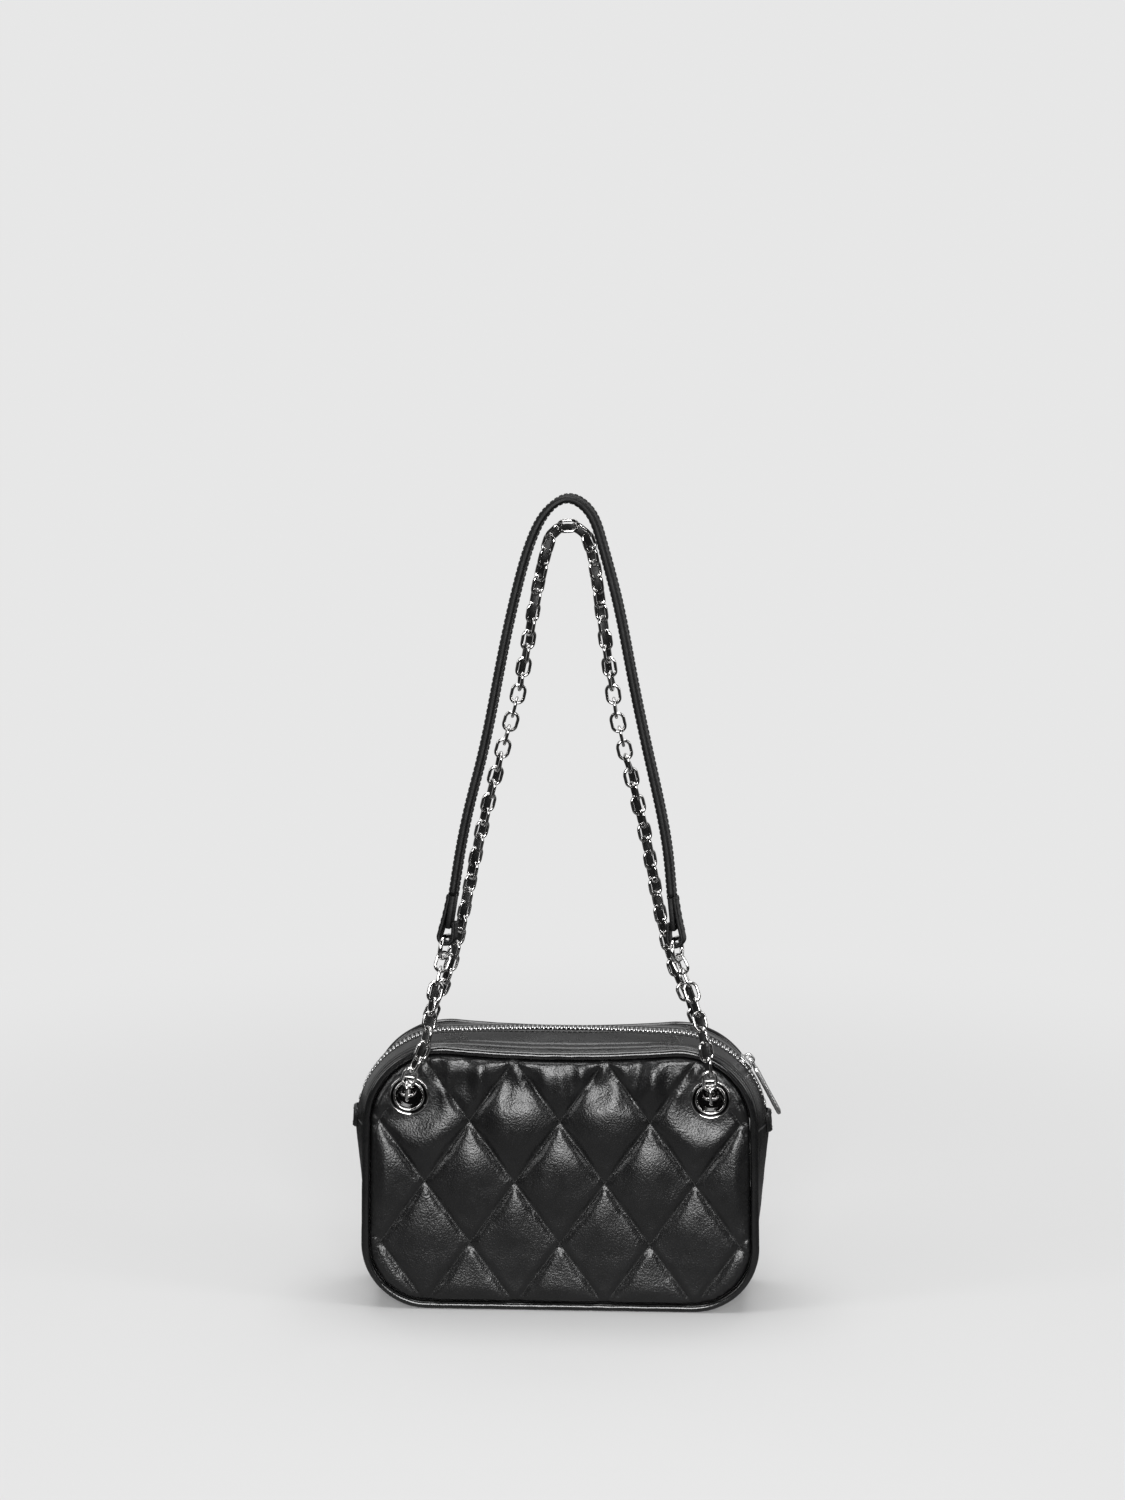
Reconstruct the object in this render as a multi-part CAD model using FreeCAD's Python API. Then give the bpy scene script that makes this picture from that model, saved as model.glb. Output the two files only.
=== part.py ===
"""Quilted chain shoulder bag with a zip top, a woven chain and a leather shoulder strap.

Millimetres, +Z up. The origin is the middle of the base, on the surface that the bag stands on.
+X is the wearer's right in the front view and the front panel faces -Y.
"""
import FreeCAD, Part
import math
import os

V = FreeCAD.Vector

# Outline of the panels, measured over the piping at virtual square corners
panel_base_width = 223.2
panel_flare = -6.0
panel_height = 156.0
panel_top_rise = -9.4
panel_top_radius = 45.0
panel_base_radius = 37.0
panel_crown_radius = 700.0

# Outline of the gusset at mid depth, where it bulges past the panels
base_bulge = -10.2
top_bulge = 25.8
middle_drop = 3.5
middle_top_rise = 4.6
middle_top_radius = 55.0
middle_base_radius = 31.0
middle_crown_radius = 900.0
middle_edge = 20.0

# Depth and thicknesses of the bag
bag_depth = 56.0
piping_diameter = 4.4
panel_thickness = 5.0
leather_thickness = 1.8
lining_thickness = 0.6
edge_inset = 1.2
fit = 0.2
overrun = 5.0

# Quilting grooves of the panels
quilt_half_width = 25.0
quilt_half_height = 35.2
quilt_row_height = 39.2
quilt_groove_depth = 2.2
quilt_groove_half_width = 2.2
quilt_rows = 7

# Zip
zip_foot_drop = 52.0
zip_slot = 8.0
zip_tape_reach = 14.0
zip_tooth_pitch = 2.5
zip_tooth_length = 1.4
zip_tooth_width = 2.2
zip_tooth_height = 3.2
zip_tooth_proud = 0.2
zip_middle_gap = 1.4
zip_stop_length = 3.0
zip_end_gap = 14.0
zip_tab_half_width = 8.0
zip_tab_thickness = 1.6
zip_tab_below = 7.0
zip_tab_above = 6.0

# Zip slider, its bail and its pull
slider_angle = 42.0
slider_length = 9.0
slider_top_width = 8.4
slider_plate_thickness = 1.2
slider_post_width = 0.7
slider_clearance = 0.4
slider_base_width = 6.0
bail_length = 7.0
bail_height = 4.4
bail_wall = 1.1
bail_thickness = 2.0
pull_pin_diameter = 1.3
pull_arm_width = 1.3
pull_arm_length = 5.2
pull_length = 36.0
pull_thickness = 1.4
pull_tilt = 28.0

# Lining furniture
board_end_margin = 36.6
board_side_margin = 14.0
board_thickness = 1.5
board_lift = 0.6
pocket_side_margin = 51.6
pocket_height = 70.0
pocket_thickness = 0.8
pocket_base_height = 25.0

# Eyelets
eyelet_side_margin = 25.3
eyelet_drop = 31.8
eyelet_flange = 4.0
eyelet_wall = 0.9
eyelet_dome = 1.5
bore_clearance = 2.8
washer_step = 1.25
washer_thickness = 0.8

# Chain links
wire_diameter = 1.8
link_inner_length = 8.9
link_width = 8.9
link_play = 0.3
bend_play = 0.7
chain_slack = 0.8
chain_standoff = 5.85
front_climb = 85.0
rear_climb = 221.0
arch_climb = 126.9
chain_roll = 40.0
arch_roll = 50.0

# Lace woven through the chain
lace_width = 4.4
lace_thickness = 1.4
lace_swing = 1.6

# Rings and shoulder strap
ring_wire = 2.5
ring_side_clearance = 1.25
ring_height = 14.5
ring_slack = 0.75
strap_width = 13.0
strap_thickness = 4.4
strap_yaw = 15.0
loop_hole_radius = 2.9
loop_ply = 2.1
loop_length = 23.0
strap_sections = 64
strap_arch_gap = 8.5

# Largest difference between unit vectors that count as parallel
same_direction_share = 1e-9

# Routes, chosen by hand. X is a share of the eyelets' distance from the middle, Y of the chain pivots'
# distance and Z of the height that the run climbs from where it starts
front_left_shares = [(-0.971, -1.066, 0.165), (-0.894, -1.070, 0.318), (-0.851, -1.016, 0.506),
                     (-0.810, -0.940, 0.718)]
front_right_shares = [(0.988, -1.066, 0.165), (0.969, -1.070, 0.318), (0.928, -1.016, 0.506),
                      (0.865, -0.940, 0.718)]
left_ring_shares = (-0.749, -0.832, 0.976)
right_ring_shares = (0.771, -0.832, 0.976)
rear_left_shares = [(-0.940, 1.053, 0.095), (-0.813, 0.949, 0.213), (-0.694, 0.813, 0.376),
                    (-0.564, 0.639, 0.602), (-0.446, 0.506, 0.778)]
rear_right_shares = [(0.916, 1.053, 0.095), (0.783, 0.949, 0.213), (0.660, 0.813, 0.376),
                     (0.549, 0.639, 0.602), (0.441, 0.506, 0.778)]
left_bare_link_shares = (-0.331, 0.384, 0.928)
right_bare_link_shares = (0.350, 0.384, 0.928)
arch_top_shares = (0.043, 0.030, 0.834)
arch_shares = [(-0.260, 0.297, 0.211), (-0.171, 0.159, 0.535), (-0.098, 0.075, 0.741), (-0.057, 0.045, 0.802),
               arch_top_shares, (0.144, 0.045, 0.802), (0.185, 0.075, 0.741), (0.238, 0.159, 0.535),
               (0.306, 0.297, 0.211)]
strap_shares = [(-0.660, -0.644, 0.203), (-0.590, -0.548, 0.323), (-0.520, -0.468, 0.418),
                (-0.386, -0.288, 0.648), (-0.282, -0.159, 0.811), (-0.180, -0.071, 0.923),
                (-0.077, -0.021, 0.979), (0.043, -0.004, 1.0), (0.161, -0.021, 0.979), (0.255, -0.079, 0.911),
                (0.361, -0.184, 0.780), (0.461, -0.316, 0.615), (0.586, -0.468, 0.418),
                (0.658, -0.556, 0.310), (0.708, -0.635, 0.213)]

# Places worked out from the sizes
panel_top_width = panel_base_width + panel_flare
middle_base_width = panel_base_width + base_bulge
middle_top_width = panel_top_width + top_bulge
middle_height = panel_height - middle_drop
middle_half_depth = bag_depth / 2 - middle_edge
zip_foot_height = panel_height - zip_foot_drop
piping_radius = piping_diameter / 2
gusset_half_depth = bag_depth / 2 - piping_radius - fit
panel_front = bag_depth / 2 + panel_thickness / 2
panel_back = panel_front - panel_thickness
panel_inset = piping_diameter + fit
lining_front = panel_back - fit
lining_back = lining_front - lining_thickness
tape_inset = leather_thickness + fit
eyelet_x = panel_top_width / 2 - eyelet_side_margin
eyelet_height = panel_height - eyelet_drop
eyelet_bore_radius = link_width / 2 + bore_clearance
eyelet_outer_radius = eyelet_bore_radius + eyelet_flange
eyelet_barrel_radius = eyelet_bore_radius + eyelet_wall
washer_outer_radius = eyelet_outer_radius - washer_step
link_outer_length = link_inner_length + 2 * wire_diameter
wire_reach = (link_inner_length + wire_diameter) / 2
chain_height = eyelet_height + bore_clearance - chain_slack
chain_pivot_y = panel_front + eyelet_dome + chain_standoff
ring_length = strap_width + 2 * (ring_wire + ring_side_clearance)
loop_outer_radius = loop_hole_radius + loop_ply


def route(shares, start_height, climb):
    return [(x * eyelet_x, y * chain_pivot_y, start_height + z * climb) for x, y, z in shares]


left_ring_place, right_ring_place = route([left_ring_shares, right_ring_shares], chain_height, front_climb)
left_bare_link, right_bare_link = route([left_bare_link_shares, right_bare_link_shares], chain_height,
                                        rear_climb)
bare_link_height = left_bare_link[2]
arch_route = route(arch_shares, bare_link_height, arch_climb)
arch_top = route([arch_top_shares], bare_link_height, arch_climb)[0]
strap_top = arch_top[2] + link_width / 2 + strap_arch_gap + strap_thickness / 2
strap_route = route(strap_shares, left_ring_place[2], strap_top - left_ring_place[2])


# Outlines made of straight edges and tangent arcs
def corner_points(base_width, top_width, height, rise):
    return [(-base_width / 2, 0.0), (base_width / 2, 0.0), (top_width / 2, height), (0.0, height + rise),
            (-top_width / 2, height)]


panel_corners = corner_points(panel_base_width, panel_top_width, panel_height, panel_top_rise)
panel_radii = [panel_base_radius, panel_base_radius, panel_top_radius, panel_crown_radius, panel_top_radius]
middle_corners = corner_points(middle_base_width, middle_top_width, middle_height, middle_top_rise)
middle_radii = [middle_base_radius, middle_base_radius, middle_top_radius, middle_crown_radius,
                middle_top_radius]


def unit(dx, dz):
    size = math.hypot(dx, dz)
    return dx / size, dz / size


def inset_corners(corners, inset):
    """Move every edge of an anticlockwise outline inwards and return the new corners."""
    moved = []
    count = len(corners)
    for i in range(count):
        before, here, after = corners[i - 1], corners[i], corners[(i + 1) % count]
        ax, az = unit(here[0] - before[0], here[1] - before[1])
        bx, bz = unit(after[0] - here[0], after[1] - here[1])
        share = inset / (1 + ax * bx + az * bz)
        moved.append((here[0] - share * (az + bz), here[1] + share * (ax + bx)))
    return moved


def rounding(corners, radii, inset):
    """Return start, middle and end of the arc at every corner, and the arc's centre, as (x, z) pairs."""
    arcs = []
    points = inset_corners(corners, inset)
    count = len(points)
    for i in range(count):
        before, here, after = points[i - 1], points[i], points[(i + 1) % count]
        ax, az = unit(before[0] - here[0], before[1] - here[1])
        bx, bz = unit(after[0] - here[0], after[1] - here[1])
        hollow = az * bx - ax * bz < 0
        radius = radii[i] + inset if hollow else radii[i] - inset
        half = math.acos(ax * bx + az * bz) / 2
        reach = radius / math.tan(half)
        mx, mz = unit(ax + bx, az + bz)
        away = radius / math.sin(half)
        centre = (here[0] + mx * away, here[1] + mz * away)
        middle = (centre[0] - mx * radius, centre[1] - mz * radius)
        start = (here[0] + ax * reach, here[1] + az * reach)
        end = (here[0] + bx * reach, here[1] + bz * reach)
        arcs.append((start, middle, end, centre))
    return arcs


def outline(corners, radii, inset, y):
    arcs = [[V(x, y, z) for x, z in arc] for arc in rounding(corners, radii, inset)]
    edges = []
    for i, (start, middle, end, centre) in enumerate(arcs):
        edges.append(Part.LineSegment(arcs[i - 1][2], start).toShape())
        edges.append(Part.Arc(start, middle, end).toShape())
    return Part.Wire(edges)


def panel_outline(inset, y):
    return outline(panel_corners, panel_radii, inset, y)


def middle_outline(inset, y):
    return outline(middle_corners, middle_radii, inset, y)


def face_between(low, high):
    """Face between two matching edges: flat where both are straight and parallel, ruled elsewhere."""
    straight = low.Curve.TypeId == high.Curve.TypeId == "Part::GeomLine"
    low_along, high_along = low.tangentAt(low.FirstParameter), high.tangentAt(high.FirstParameter)
    if straight and low_along.isEqual(high_along, same_direction_share):
        corners = [low.valueAt(low.FirstParameter), low.valueAt(low.LastParameter),
                   high.valueAt(high.LastParameter), high.valueAt(high.FirstParameter)]
        return Part.Face(Part.makePolygon(corners + corners[:1]))
    return Part.makeRuledSurface(low, high)


def ruled_solid(wires):
    """Solid with faces between matching edges of the wires, closed at both ends."""
    faces = [Part.Face(wires[0]), Part.Face(wires[-1])]
    for low, high in zip(wires, wires[1:]):
        faces.extend(face_between(a, b) for a, b in zip(low.Edges, high.Edges))
    shell = Part.makeShell(faces)
    shell.sewShape()
    solid = Part.makeSolid(shell)
    if solid.Volume < 0:
        solid.reverse()
    return solid


# Soft wall between the panels
def wall_body(inset):
    """Solid bounded by the gusset's outer face moved inwards by the inset."""
    edge = edge_inset + inset
    return ruled_solid([
        panel_outline(edge, -gusset_half_depth), middle_outline(inset, -middle_half_depth),
        middle_outline(inset, middle_half_depth), panel_outline(edge, gusset_half_depth)])


def wall_band(outer_inset, inner_inset):
    return wall_body(outer_inset).cut(wall_body(inner_inset))


def slab(y_low, y_high, z_low, z_high):
    width = middle_top_width + 2 * overrun
    return Part.makeBox(width, y_high - y_low, z_high - z_low, V(-width / 2, y_low, z_low))


def side_slab(side, y_low, y_high, z_low, z_high):
    half = middle_top_width / 2 + overrun
    return Part.makeBox(half, y_high - y_low, z_high - z_low, V(0.0 if side > 0 else -half, y_low, z_low))


def tube(spine, diameter):
    """Round tube along a closed wire, starting at the middle of its first straight edge."""
    edge = spine.Edges[0]
    start = edge.valueAt((edge.FirstParameter + edge.LastParameter) / 2)
    first = Part.LineSegment(start, edge.valueAt(edge.LastParameter)).toShape()
    last = Part.LineSegment(edge.valueAt(edge.FirstParameter), start).toShape()
    path = Part.Wire([first] + spine.Edges[1:] + [last])
    ring = Part.Wire([Part.Circle(start, edge.tangentAt(edge.FirstParameter), diameter / 2).toShape()])
    return path.makePipeShell([ring], True, True)


# Placing of links, rings and strap sections
def frame_at(origin, along, across):
    """Placement whose local Z points along and whose local X is as near to across as it can be."""
    z_axis = V(along).normalize()
    x_axis = V(across) - z_axis * z_axis.dot(across)
    x_axis.normalize()
    y_axis = z_axis.cross(x_axis)
    return FreeCAD.Placement(FreeCAD.Matrix(x_axis.x, y_axis.x, z_axis.x, origin.x,
                                            x_axis.y, y_axis.y, z_axis.y, origin.y,
                                            x_axis.z, y_axis.z, z_axis.z, origin.z, 0, 0, 0, 1))


def stadium_ring(length, width, wire):
    """Closed wire ring with two straight sides along Z and two round ends, lying in the XZ plane."""
    bend = (width - wire) / 2
    straight = length - width
    half = straight / 2
    pieces = []
    for side in (-1, 1):
        pieces.append(Part.makeCylinder(wire / 2, straight, V(side * bend, 0, -half), V(0, 0, 1)))
    for end in (-1, 1):
        profile = Part.Face(Part.Wire([Part.Circle(V(bend, 0, end * half), V(0, 0, 1), wire / 2).toShape()]))
        pieces.append(profile.revolve(V(0, 0, end * half), V(0, -end, 0), 180))
    return pieces[0].multiFuse(pieces[1:]).removeSplitter()


def placed(shape, placement):
    copy = shape.copy()
    copy.Placement = placement
    return copy


def smooth_curve(points):
    curve = Part.BSplineCurve()
    curve.interpolate([V(*point) for point in points])
    return curve


def turned(vector, axis, degrees):
    return FreeCAD.Rotation(axis, degrees).multVec(vector)


def chain_run(points, play, start_reach, end_reach, first_across, last_turned, roll, end_roll):
    """Frames of the links of a run: every second link is turned a quarter turn about the run."""
    curve = smooth_curve(points)
    length = curve.length() - start_reach - end_reach
    spare = 1 if last_turned else 0
    steps = 2 * math.ceil((length / (link_inner_length - play) - spare) / 2) + spare
    pitch = length / steps
    frames = []
    for i in range(steps + 1):
        share = i / steps
        parameter = curve.parameterAtDistance(start_reach + i * pitch, curve.FirstParameter)
        along = V(*curve.tangent(parameter)[0])
        across = first_across - along * along.dot(first_across)
        angle = 90.0 * (i % 2) + end_roll * share + roll * math.sin(math.pi * share)
        frames.append(frame_at(curve.value(parameter), along, turned(across, along, angle)))
    print("run of %d links, pitch %.2f" % (steps + 1, pitch))
    return frames


link = stadium_ring(link_outer_length, link_width, wire_diameter)


def chain(frames):
    return Part.Compound([placed(link, frame) for frame in frames])


def rectangle(centre, wide, thick):
    """Closed rectangular wire about a centre, from its two half-size vectors."""
    corners = [centre + wide + thick, centre - wide + thick, centre - wide - thick, centre + wide - thick]
    return Part.makePolygon(corners + corners[:1])


def lace(frames):
    """Flat lace that swings from side to side between the links of one run."""
    sections = []
    for i in range(len(frames) - 1):
        here, after = frames[i], frames[i + 1]
        along = here.Rotation.multVec(V(0, 0, 1))
        swing = here.Rotation.multVec(V(1, 0, 0)) + after.Rotation.multVec(V(1, 0, 0))
        swing = (swing - along * along.dot(swing)).normalize()
        side = -1 if i % 2 else 1
        wide = along.cross(swing).normalize() * (lace_width / 2)
        centre = (here.Base + after.Base) / 2 + swing * (side * lace_swing)
        sections.append(rectangle(centre, wide, swing * (lace_thickness / 2)))
    return ruled_solid(sections)


# Panels, piping and lining
def eyelet_place(side, end):
    return V(side * eyelet_x, end * panel_front, eyelet_height)


def eyelet_hole(radius):
    return [Part.makeCylinder(radius, bag_depth + 2 * overrun + panel_thickness,
                              V(side * eyelet_x, -panel_front - overrun, eyelet_height), V(0, 1, 0))
            for side in (-1, 1)]


panel_holes = Part.Compound(eyelet_hole(eyelet_barrel_radius + fit))


def quilt_groove(end, x_low, z_low, x_high, z_high):
    """Ridge-shaped cutter along one stitched line of the quilting."""
    start, stop = V(x_low, end * panel_front, z_low), V(x_high, end * panel_front, z_high)
    across = (stop - start).cross(V(0, 1, 0)).normalize() * quilt_groove_half_width
    depth = V(0, -end * quilt_groove_depth, 0)
    face = Part.Face(Part.makePolygon([start - across - depth, start + across - depth, start + depth,
                                       start - across - depth]))
    return face.extrude(stop - start)


def quilt_grooves(end):
    """Crossing families of stitched lines that leave diamonds between them."""
    reach = panel_height
    lean = reach * quilt_half_width / quilt_half_height
    cutters = []
    for i in range(-quilt_rows, quilt_rows + 1):
        foot = 2 * i * quilt_half_width
        for way in (-1, 1):
            cutters.append(quilt_groove(end, foot - way * lean, quilt_row_height - reach, foot + way * lean,
                                        quilt_row_height + reach))
    return cutters


def panel(end):
    front = panel_outline(panel_inset + piping_radius, end * panel_front)
    shoulder = panel_outline(panel_inset, end * (panel_front - piping_radius))
    back = panel_outline(panel_inset, end * panel_back)
    pad = ruled_solid([front, shoulder, back])
    field = Part.Face(panel_outline(panel_inset + piping_diameter, end * (panel_front + overrun)))
    field = field.extrude(V(0, -end * (overrun + panel_thickness), 0))
    grooves = [cutter.common(field) for cutter in quilt_grooves(end)]
    return pad.cut([groove for groove in grooves if groove.Solids]).cut(panel_holes)


def lining_sheet(end):
    face = Part.Face(panel_outline(panel_inset, end * lining_front))
    return face.extrude(V(0, -end * lining_thickness, 0)).cut(panel_holes)


# Eyelets: a domed flange with a barrel that is closed over a washer inside
def eyelet(side, end):
    outer = eyelet_outer_radius
    tail = panel_front - lining_back + washer_thickness + 2 * fit
    middle = (eyelet_bore_radius + outer) / 2
    base = fit / 2
    points = [V(outer, base, 0), V(eyelet_barrel_radius, base, 0), V(eyelet_barrel_radius, -tail, 0),
              V(eyelet_bore_radius, -tail, 0), V(eyelet_bore_radius, base, 0)]
    edges = [Part.LineSegment(points[i], points[i + 1]).toShape() for i in range(len(points) - 1)]
    edges.append(Part.Arc(points[-1], V(middle, base + eyelet_dome, 0), points[0]).toShape())
    ring = Part.Face(Part.Wire(edges)).revolve(V(0, 0, 0), V(0, 1, 0), 360)
    half_turn = 0 if end > 0 else 180
    return placed(ring, FreeCAD.Placement(eyelet_place(side, end), FreeCAD.Rotation(V(0, 0, 1), half_turn)))


def washer(side, end):
    start = V(side * eyelet_x, end * (lining_back - fit), eyelet_height)
    along = V(0, -end, 0)
    disc = Part.makeCylinder(washer_outer_radius, washer_thickness, start, along)
    return disc.cut(Part.makeCylinder(eyelet_barrel_radius + fit / 2, washer_thickness, start, along))


# Zip
def zip_path(inset):
    """Line of the zip over the top of the bag, from the left foot to the right foot."""
    arcs = rounding(middle_corners, middle_radii, inset)
    right, crown, left = arcs[2], arcs[3], arcs[4]

    def foot(arc, side):
        radius = math.dist(arc[0], arc[3])
        rise = zip_foot_height - arc[3][1]
        return V(arc[3][0] + side * math.sqrt(radius ** 2 - rise ** 2), 0, zip_foot_height)

    def point(pair):
        return V(pair[0], 0, pair[1])

    def shoulder(arc, side):
        reach = math.dist(arc[0], arc[3]) * math.sin(math.pi / 4)
        return V(arc[3][0] + side * reach, 0, arc[3][1] + reach)

    return Part.Wire([
        Part.Arc(foot(left, -1), shoulder(left, -1), point(left[0])).toShape(),
        Part.LineSegment(point(left[0]), point(crown[2])).toShape(),
        Part.Arc(point(crown[2]), point(crown[1]), point(crown[0])).toShape(),
        Part.LineSegment(point(crown[0]), point(right[2])).toShape(),
        Part.Arc(point(right[2]), shoulder(right, 1), foot(right, 1)).toShape()])


zip_line = zip_path(zip_tooth_height / 2 - zip_tooth_proud)
zip_points = zip_line.discretize(Number=int(zip_line.Length / zip_tooth_pitch) + 1)
zip_skip = math.ceil(zip_end_gap / zip_tooth_pitch)


def tooth_block(i, length, width, y_centre):
    along = zip_points[i + 1] - zip_points[i - 1]
    block = Part.makeBox(width, zip_tooth_height, length, V(-width / 2, -zip_tooth_height / 2, -length / 2))
    return placed(block, frame_at(zip_points[i] + V(0, y_centre, 0), along, V(0, 1, 0)))


def zip_teeth(end):
    centre = end * (zip_middle_gap + zip_tooth_width) / 2
    return Part.Compound([tooth_block(i, zip_tooth_length, zip_tooth_width, centre)
                          for i in range(zip_skip, len(zip_points) - zip_skip)])


def zip_stops():
    width = zip_middle_gap + 2 * zip_tooth_width
    first = zip_skip - math.ceil(zip_stop_length / zip_tooth_pitch)
    return Part.Compound([tooth_block(i, zip_stop_length, width, 0.0)
                          for i in (first, len(zip_points) - 1 - first)])


corner_arc = rounding(middle_corners, middle_radii, 0.0)[2]
corner_centre = V(corner_arc[3][0], 0, corner_arc[3][1])
corner_radius = math.dist(corner_arc[0], corner_arc[3])


def corner_point(radius, degrees):
    angle = math.radians(degrees)
    return corner_centre + V(radius * math.cos(angle), 0, radius * math.sin(angle))


def arc_plate(inner_radius, outer_radius, length, width):
    """Plate that follows the corner of the zip, centred on the slider's place."""
    half = math.degrees(length / 2 / corner_radius)
    low, high = slider_angle - half, slider_angle + half
    edges = [Part.Arc(corner_point(outer_radius, low), corner_point(outer_radius, slider_angle),
                      corner_point(outer_radius, high)).toShape(),
             Part.LineSegment(corner_point(outer_radius, high), corner_point(inner_radius, high)).toShape(),
             Part.Arc(corner_point(inner_radius, high), corner_point(inner_radius, slider_angle),
                      corner_point(inner_radius, low)).toShape(),
             Part.LineSegment(corner_point(inner_radius, low), corner_point(outer_radius, low)).toShape()]
    face = Part.Face(Part.Wire(edges))
    face.translate(V(0, -width / 2, 0))
    return face.extrude(V(0, width, 0))


slider_top_low = corner_radius + zip_tooth_proud + slider_clearance
slider_top_high = slider_top_low + slider_plate_thickness
slider_base_high = corner_radius + zip_tooth_proud - zip_tooth_height - slider_clearance
slider_base_low = slider_base_high - slider_plate_thickness
slider_out = corner_point(1.0, slider_angle) - corner_centre
slider_down = V(slider_out.z, 0, -slider_out.x)
pull_pivot = corner_point(slider_top_high + bail_height / 2, slider_angle)


def zip_slider():
    top = arc_plate(slider_top_low, slider_top_high, slider_length, slider_top_width)
    base = arc_plate(slider_base_low, slider_base_high, slider_length, slider_base_width)
    post = arc_plate(slider_base_low, slider_top_high, slider_length / 2, slider_post_width)
    return top.multiFuse([base, post]).removeSplitter()


def bail():
    """Upright eye on the slider that the pull's pin passes through."""
    place = frame_at(corner_point(slider_top_high, slider_angle), slider_out, slider_down)
    corner = V(-bail_length / 2, -bail_thickness / 2, 0)
    block = Part.makeBox(bail_length, bail_thickness, bail_height, corner)
    window_length = bail_length - 2 * bail_wall
    window_height = bail_height - 2 * bail_wall
    window = Part.makeBox(window_length, bail_thickness, window_height,
                          V(-window_length / 2, -bail_thickness / 2, bail_wall))
    return placed(block.cut(window), place)


def zip_pull():
    """Bar with an eye whose pin runs through the bail, hanging down and outwards."""
    inner = bail_thickness / 2 + slider_clearance
    outer = inner + pull_arm_width
    radius = pull_pin_diameter / 2
    pin = Part.makeCylinder(radius, 2 * outer, V(0, -outer, 0), V(0, 1, 0))
    pieces = []
    for side in (-1, 1):
        low = inner if side > 0 else -outer
        pieces.append(Part.makeBox(pull_thickness, pull_arm_width, pull_arm_length + radius,
                                   V(-pull_thickness / 2, low, -radius)))
    pieces.append(Part.makeBox(pull_thickness, 2 * outer, pull_length - pull_arm_length,
                               V(-pull_thickness / 2, -outer, pull_arm_length)))
    tilt = math.radians(pull_tilt)
    along = V(math.sin(tilt), 0, -math.cos(tilt))
    return placed(pin.multiFuse(pieces).removeSplitter(), frame_at(pull_pivot, along, V(1, 0, 0)))


# Rings and the looped ends of the strap
strap_wide = turned(V(0, 1, 0), V(0, 0, 1), -strap_yaw)
ring_drop = (ring_height - ring_wire) / 2


def ring_frame(place, strap_along):
    return frame_at(V(*place), strap_wide - strap_along * strap_along.dot(strap_wide), strap_along)


def strap_direction(ring_place, strap_point):
    return (V(*strap_point) - V(*ring_place)).normalize()


def loop_frame(ring_place, strap_along):
    return frame_at(V(*ring_place) + strap_along * ring_drop, strap_along, strap_wide.cross(strap_along))


def strap_loop(ring_place, strap_along):
    """Leather end of the strap, folded round the top of its ring."""
    half = strap_thickness / 2 + leather_thickness / 2
    low_left, low_right = V(-loop_outer_radius, 0, 0), V(loop_outer_radius, 0, 0)
    high_left, high_right = V(-half, 0, loop_length), V(half, 0, loop_length)
    edges = [Part.Arc(low_left, V(0, 0, -loop_outer_radius), low_right).toShape(),
             Part.LineSegment(low_right, high_right).toShape(),
             Part.LineSegment(high_right, high_left).toShape(),
             Part.LineSegment(high_left, low_left).toShape()]
    face = Part.Face(Part.Wire(edges))
    face.translate(V(0, -strap_width / 2, 0))
    block = face.extrude(V(0, strap_width, 0))
    hole = Part.makeCylinder(loop_hole_radius, strap_width, V(0, -strap_width / 2, 0), V(0, 1, 0))
    return placed(block.cut(hole), loop_frame(ring_place, strap_along))


def shoulder_strap(ends):
    """Flat strap between the tops of its two looped ends, which are given as places and directions."""
    (left_top, left_along), (right_top, right_along) = ends
    points = [left_top] + [V(*point) for point in strap_route] + [right_top]
    curve = Part.BSplineCurve()
    curve.interpolate(Points=points, InitialTangent=left_along, FinalTangent=-right_along)
    length = curve.length()
    sections = []
    for i in range(strap_sections + 1):
        parameter = curve.parameterAtDistance(length * i / strap_sections, curve.FirstParameter)
        along = V(*curve.tangent(parameter)[0])
        wide = (strap_wide - along * along.dot(strap_wide)).normalize()
        thick = wide.cross(along) * (strap_thickness / 2)
        sections.append(rectangle(curve.value(parameter), wide * (strap_width / 2), thick))
    print("strap length %.0f" % length)
    return ruled_solid(sections)


# Assembly
parts = {}
zip_top = panel_height + overrun + middle_top_rise
half_slot = zip_slot / 2
leather_wall = wall_band(0.0, leather_thickness)
inner_wall = wall_band(tape_inset, tape_inset + lining_thickness)
tab_wall = wall_band(-zip_tab_thickness - fit, -fit)
tape_low = zip_tooth_width + zip_middle_gap / 2 + fit

for end, place in ((-1, "front"), (1, "rear")):
    parts[place + "_panel"] = panel(end)
    parts[place + "_piping"] = tube(panel_outline(piping_radius, end * bag_depth / 2), piping_diameter)
    parts[place + "_lining"] = lining_sheet(end)
    strip = sorted((end * half_slot, end * gusset_half_depth))
    tape = sorted((end * tape_low, end * zip_tape_reach))
    parts["zip_gusset_" + place] = leather_wall.common(slab(*strip, zip_foot_height + fit, zip_top))
    parts["zip_tape_" + place] = inner_wall.common(slab(*tape, zip_foot_height + fit, zip_top))
    parts["zip_teeth_" + place] = zip_teeth(end)
    for side, hand in ((-1, "left"), (1, "right")):
        parts["eyelet_%s_%s" % (place, hand)] = eyelet(side, end)

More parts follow.
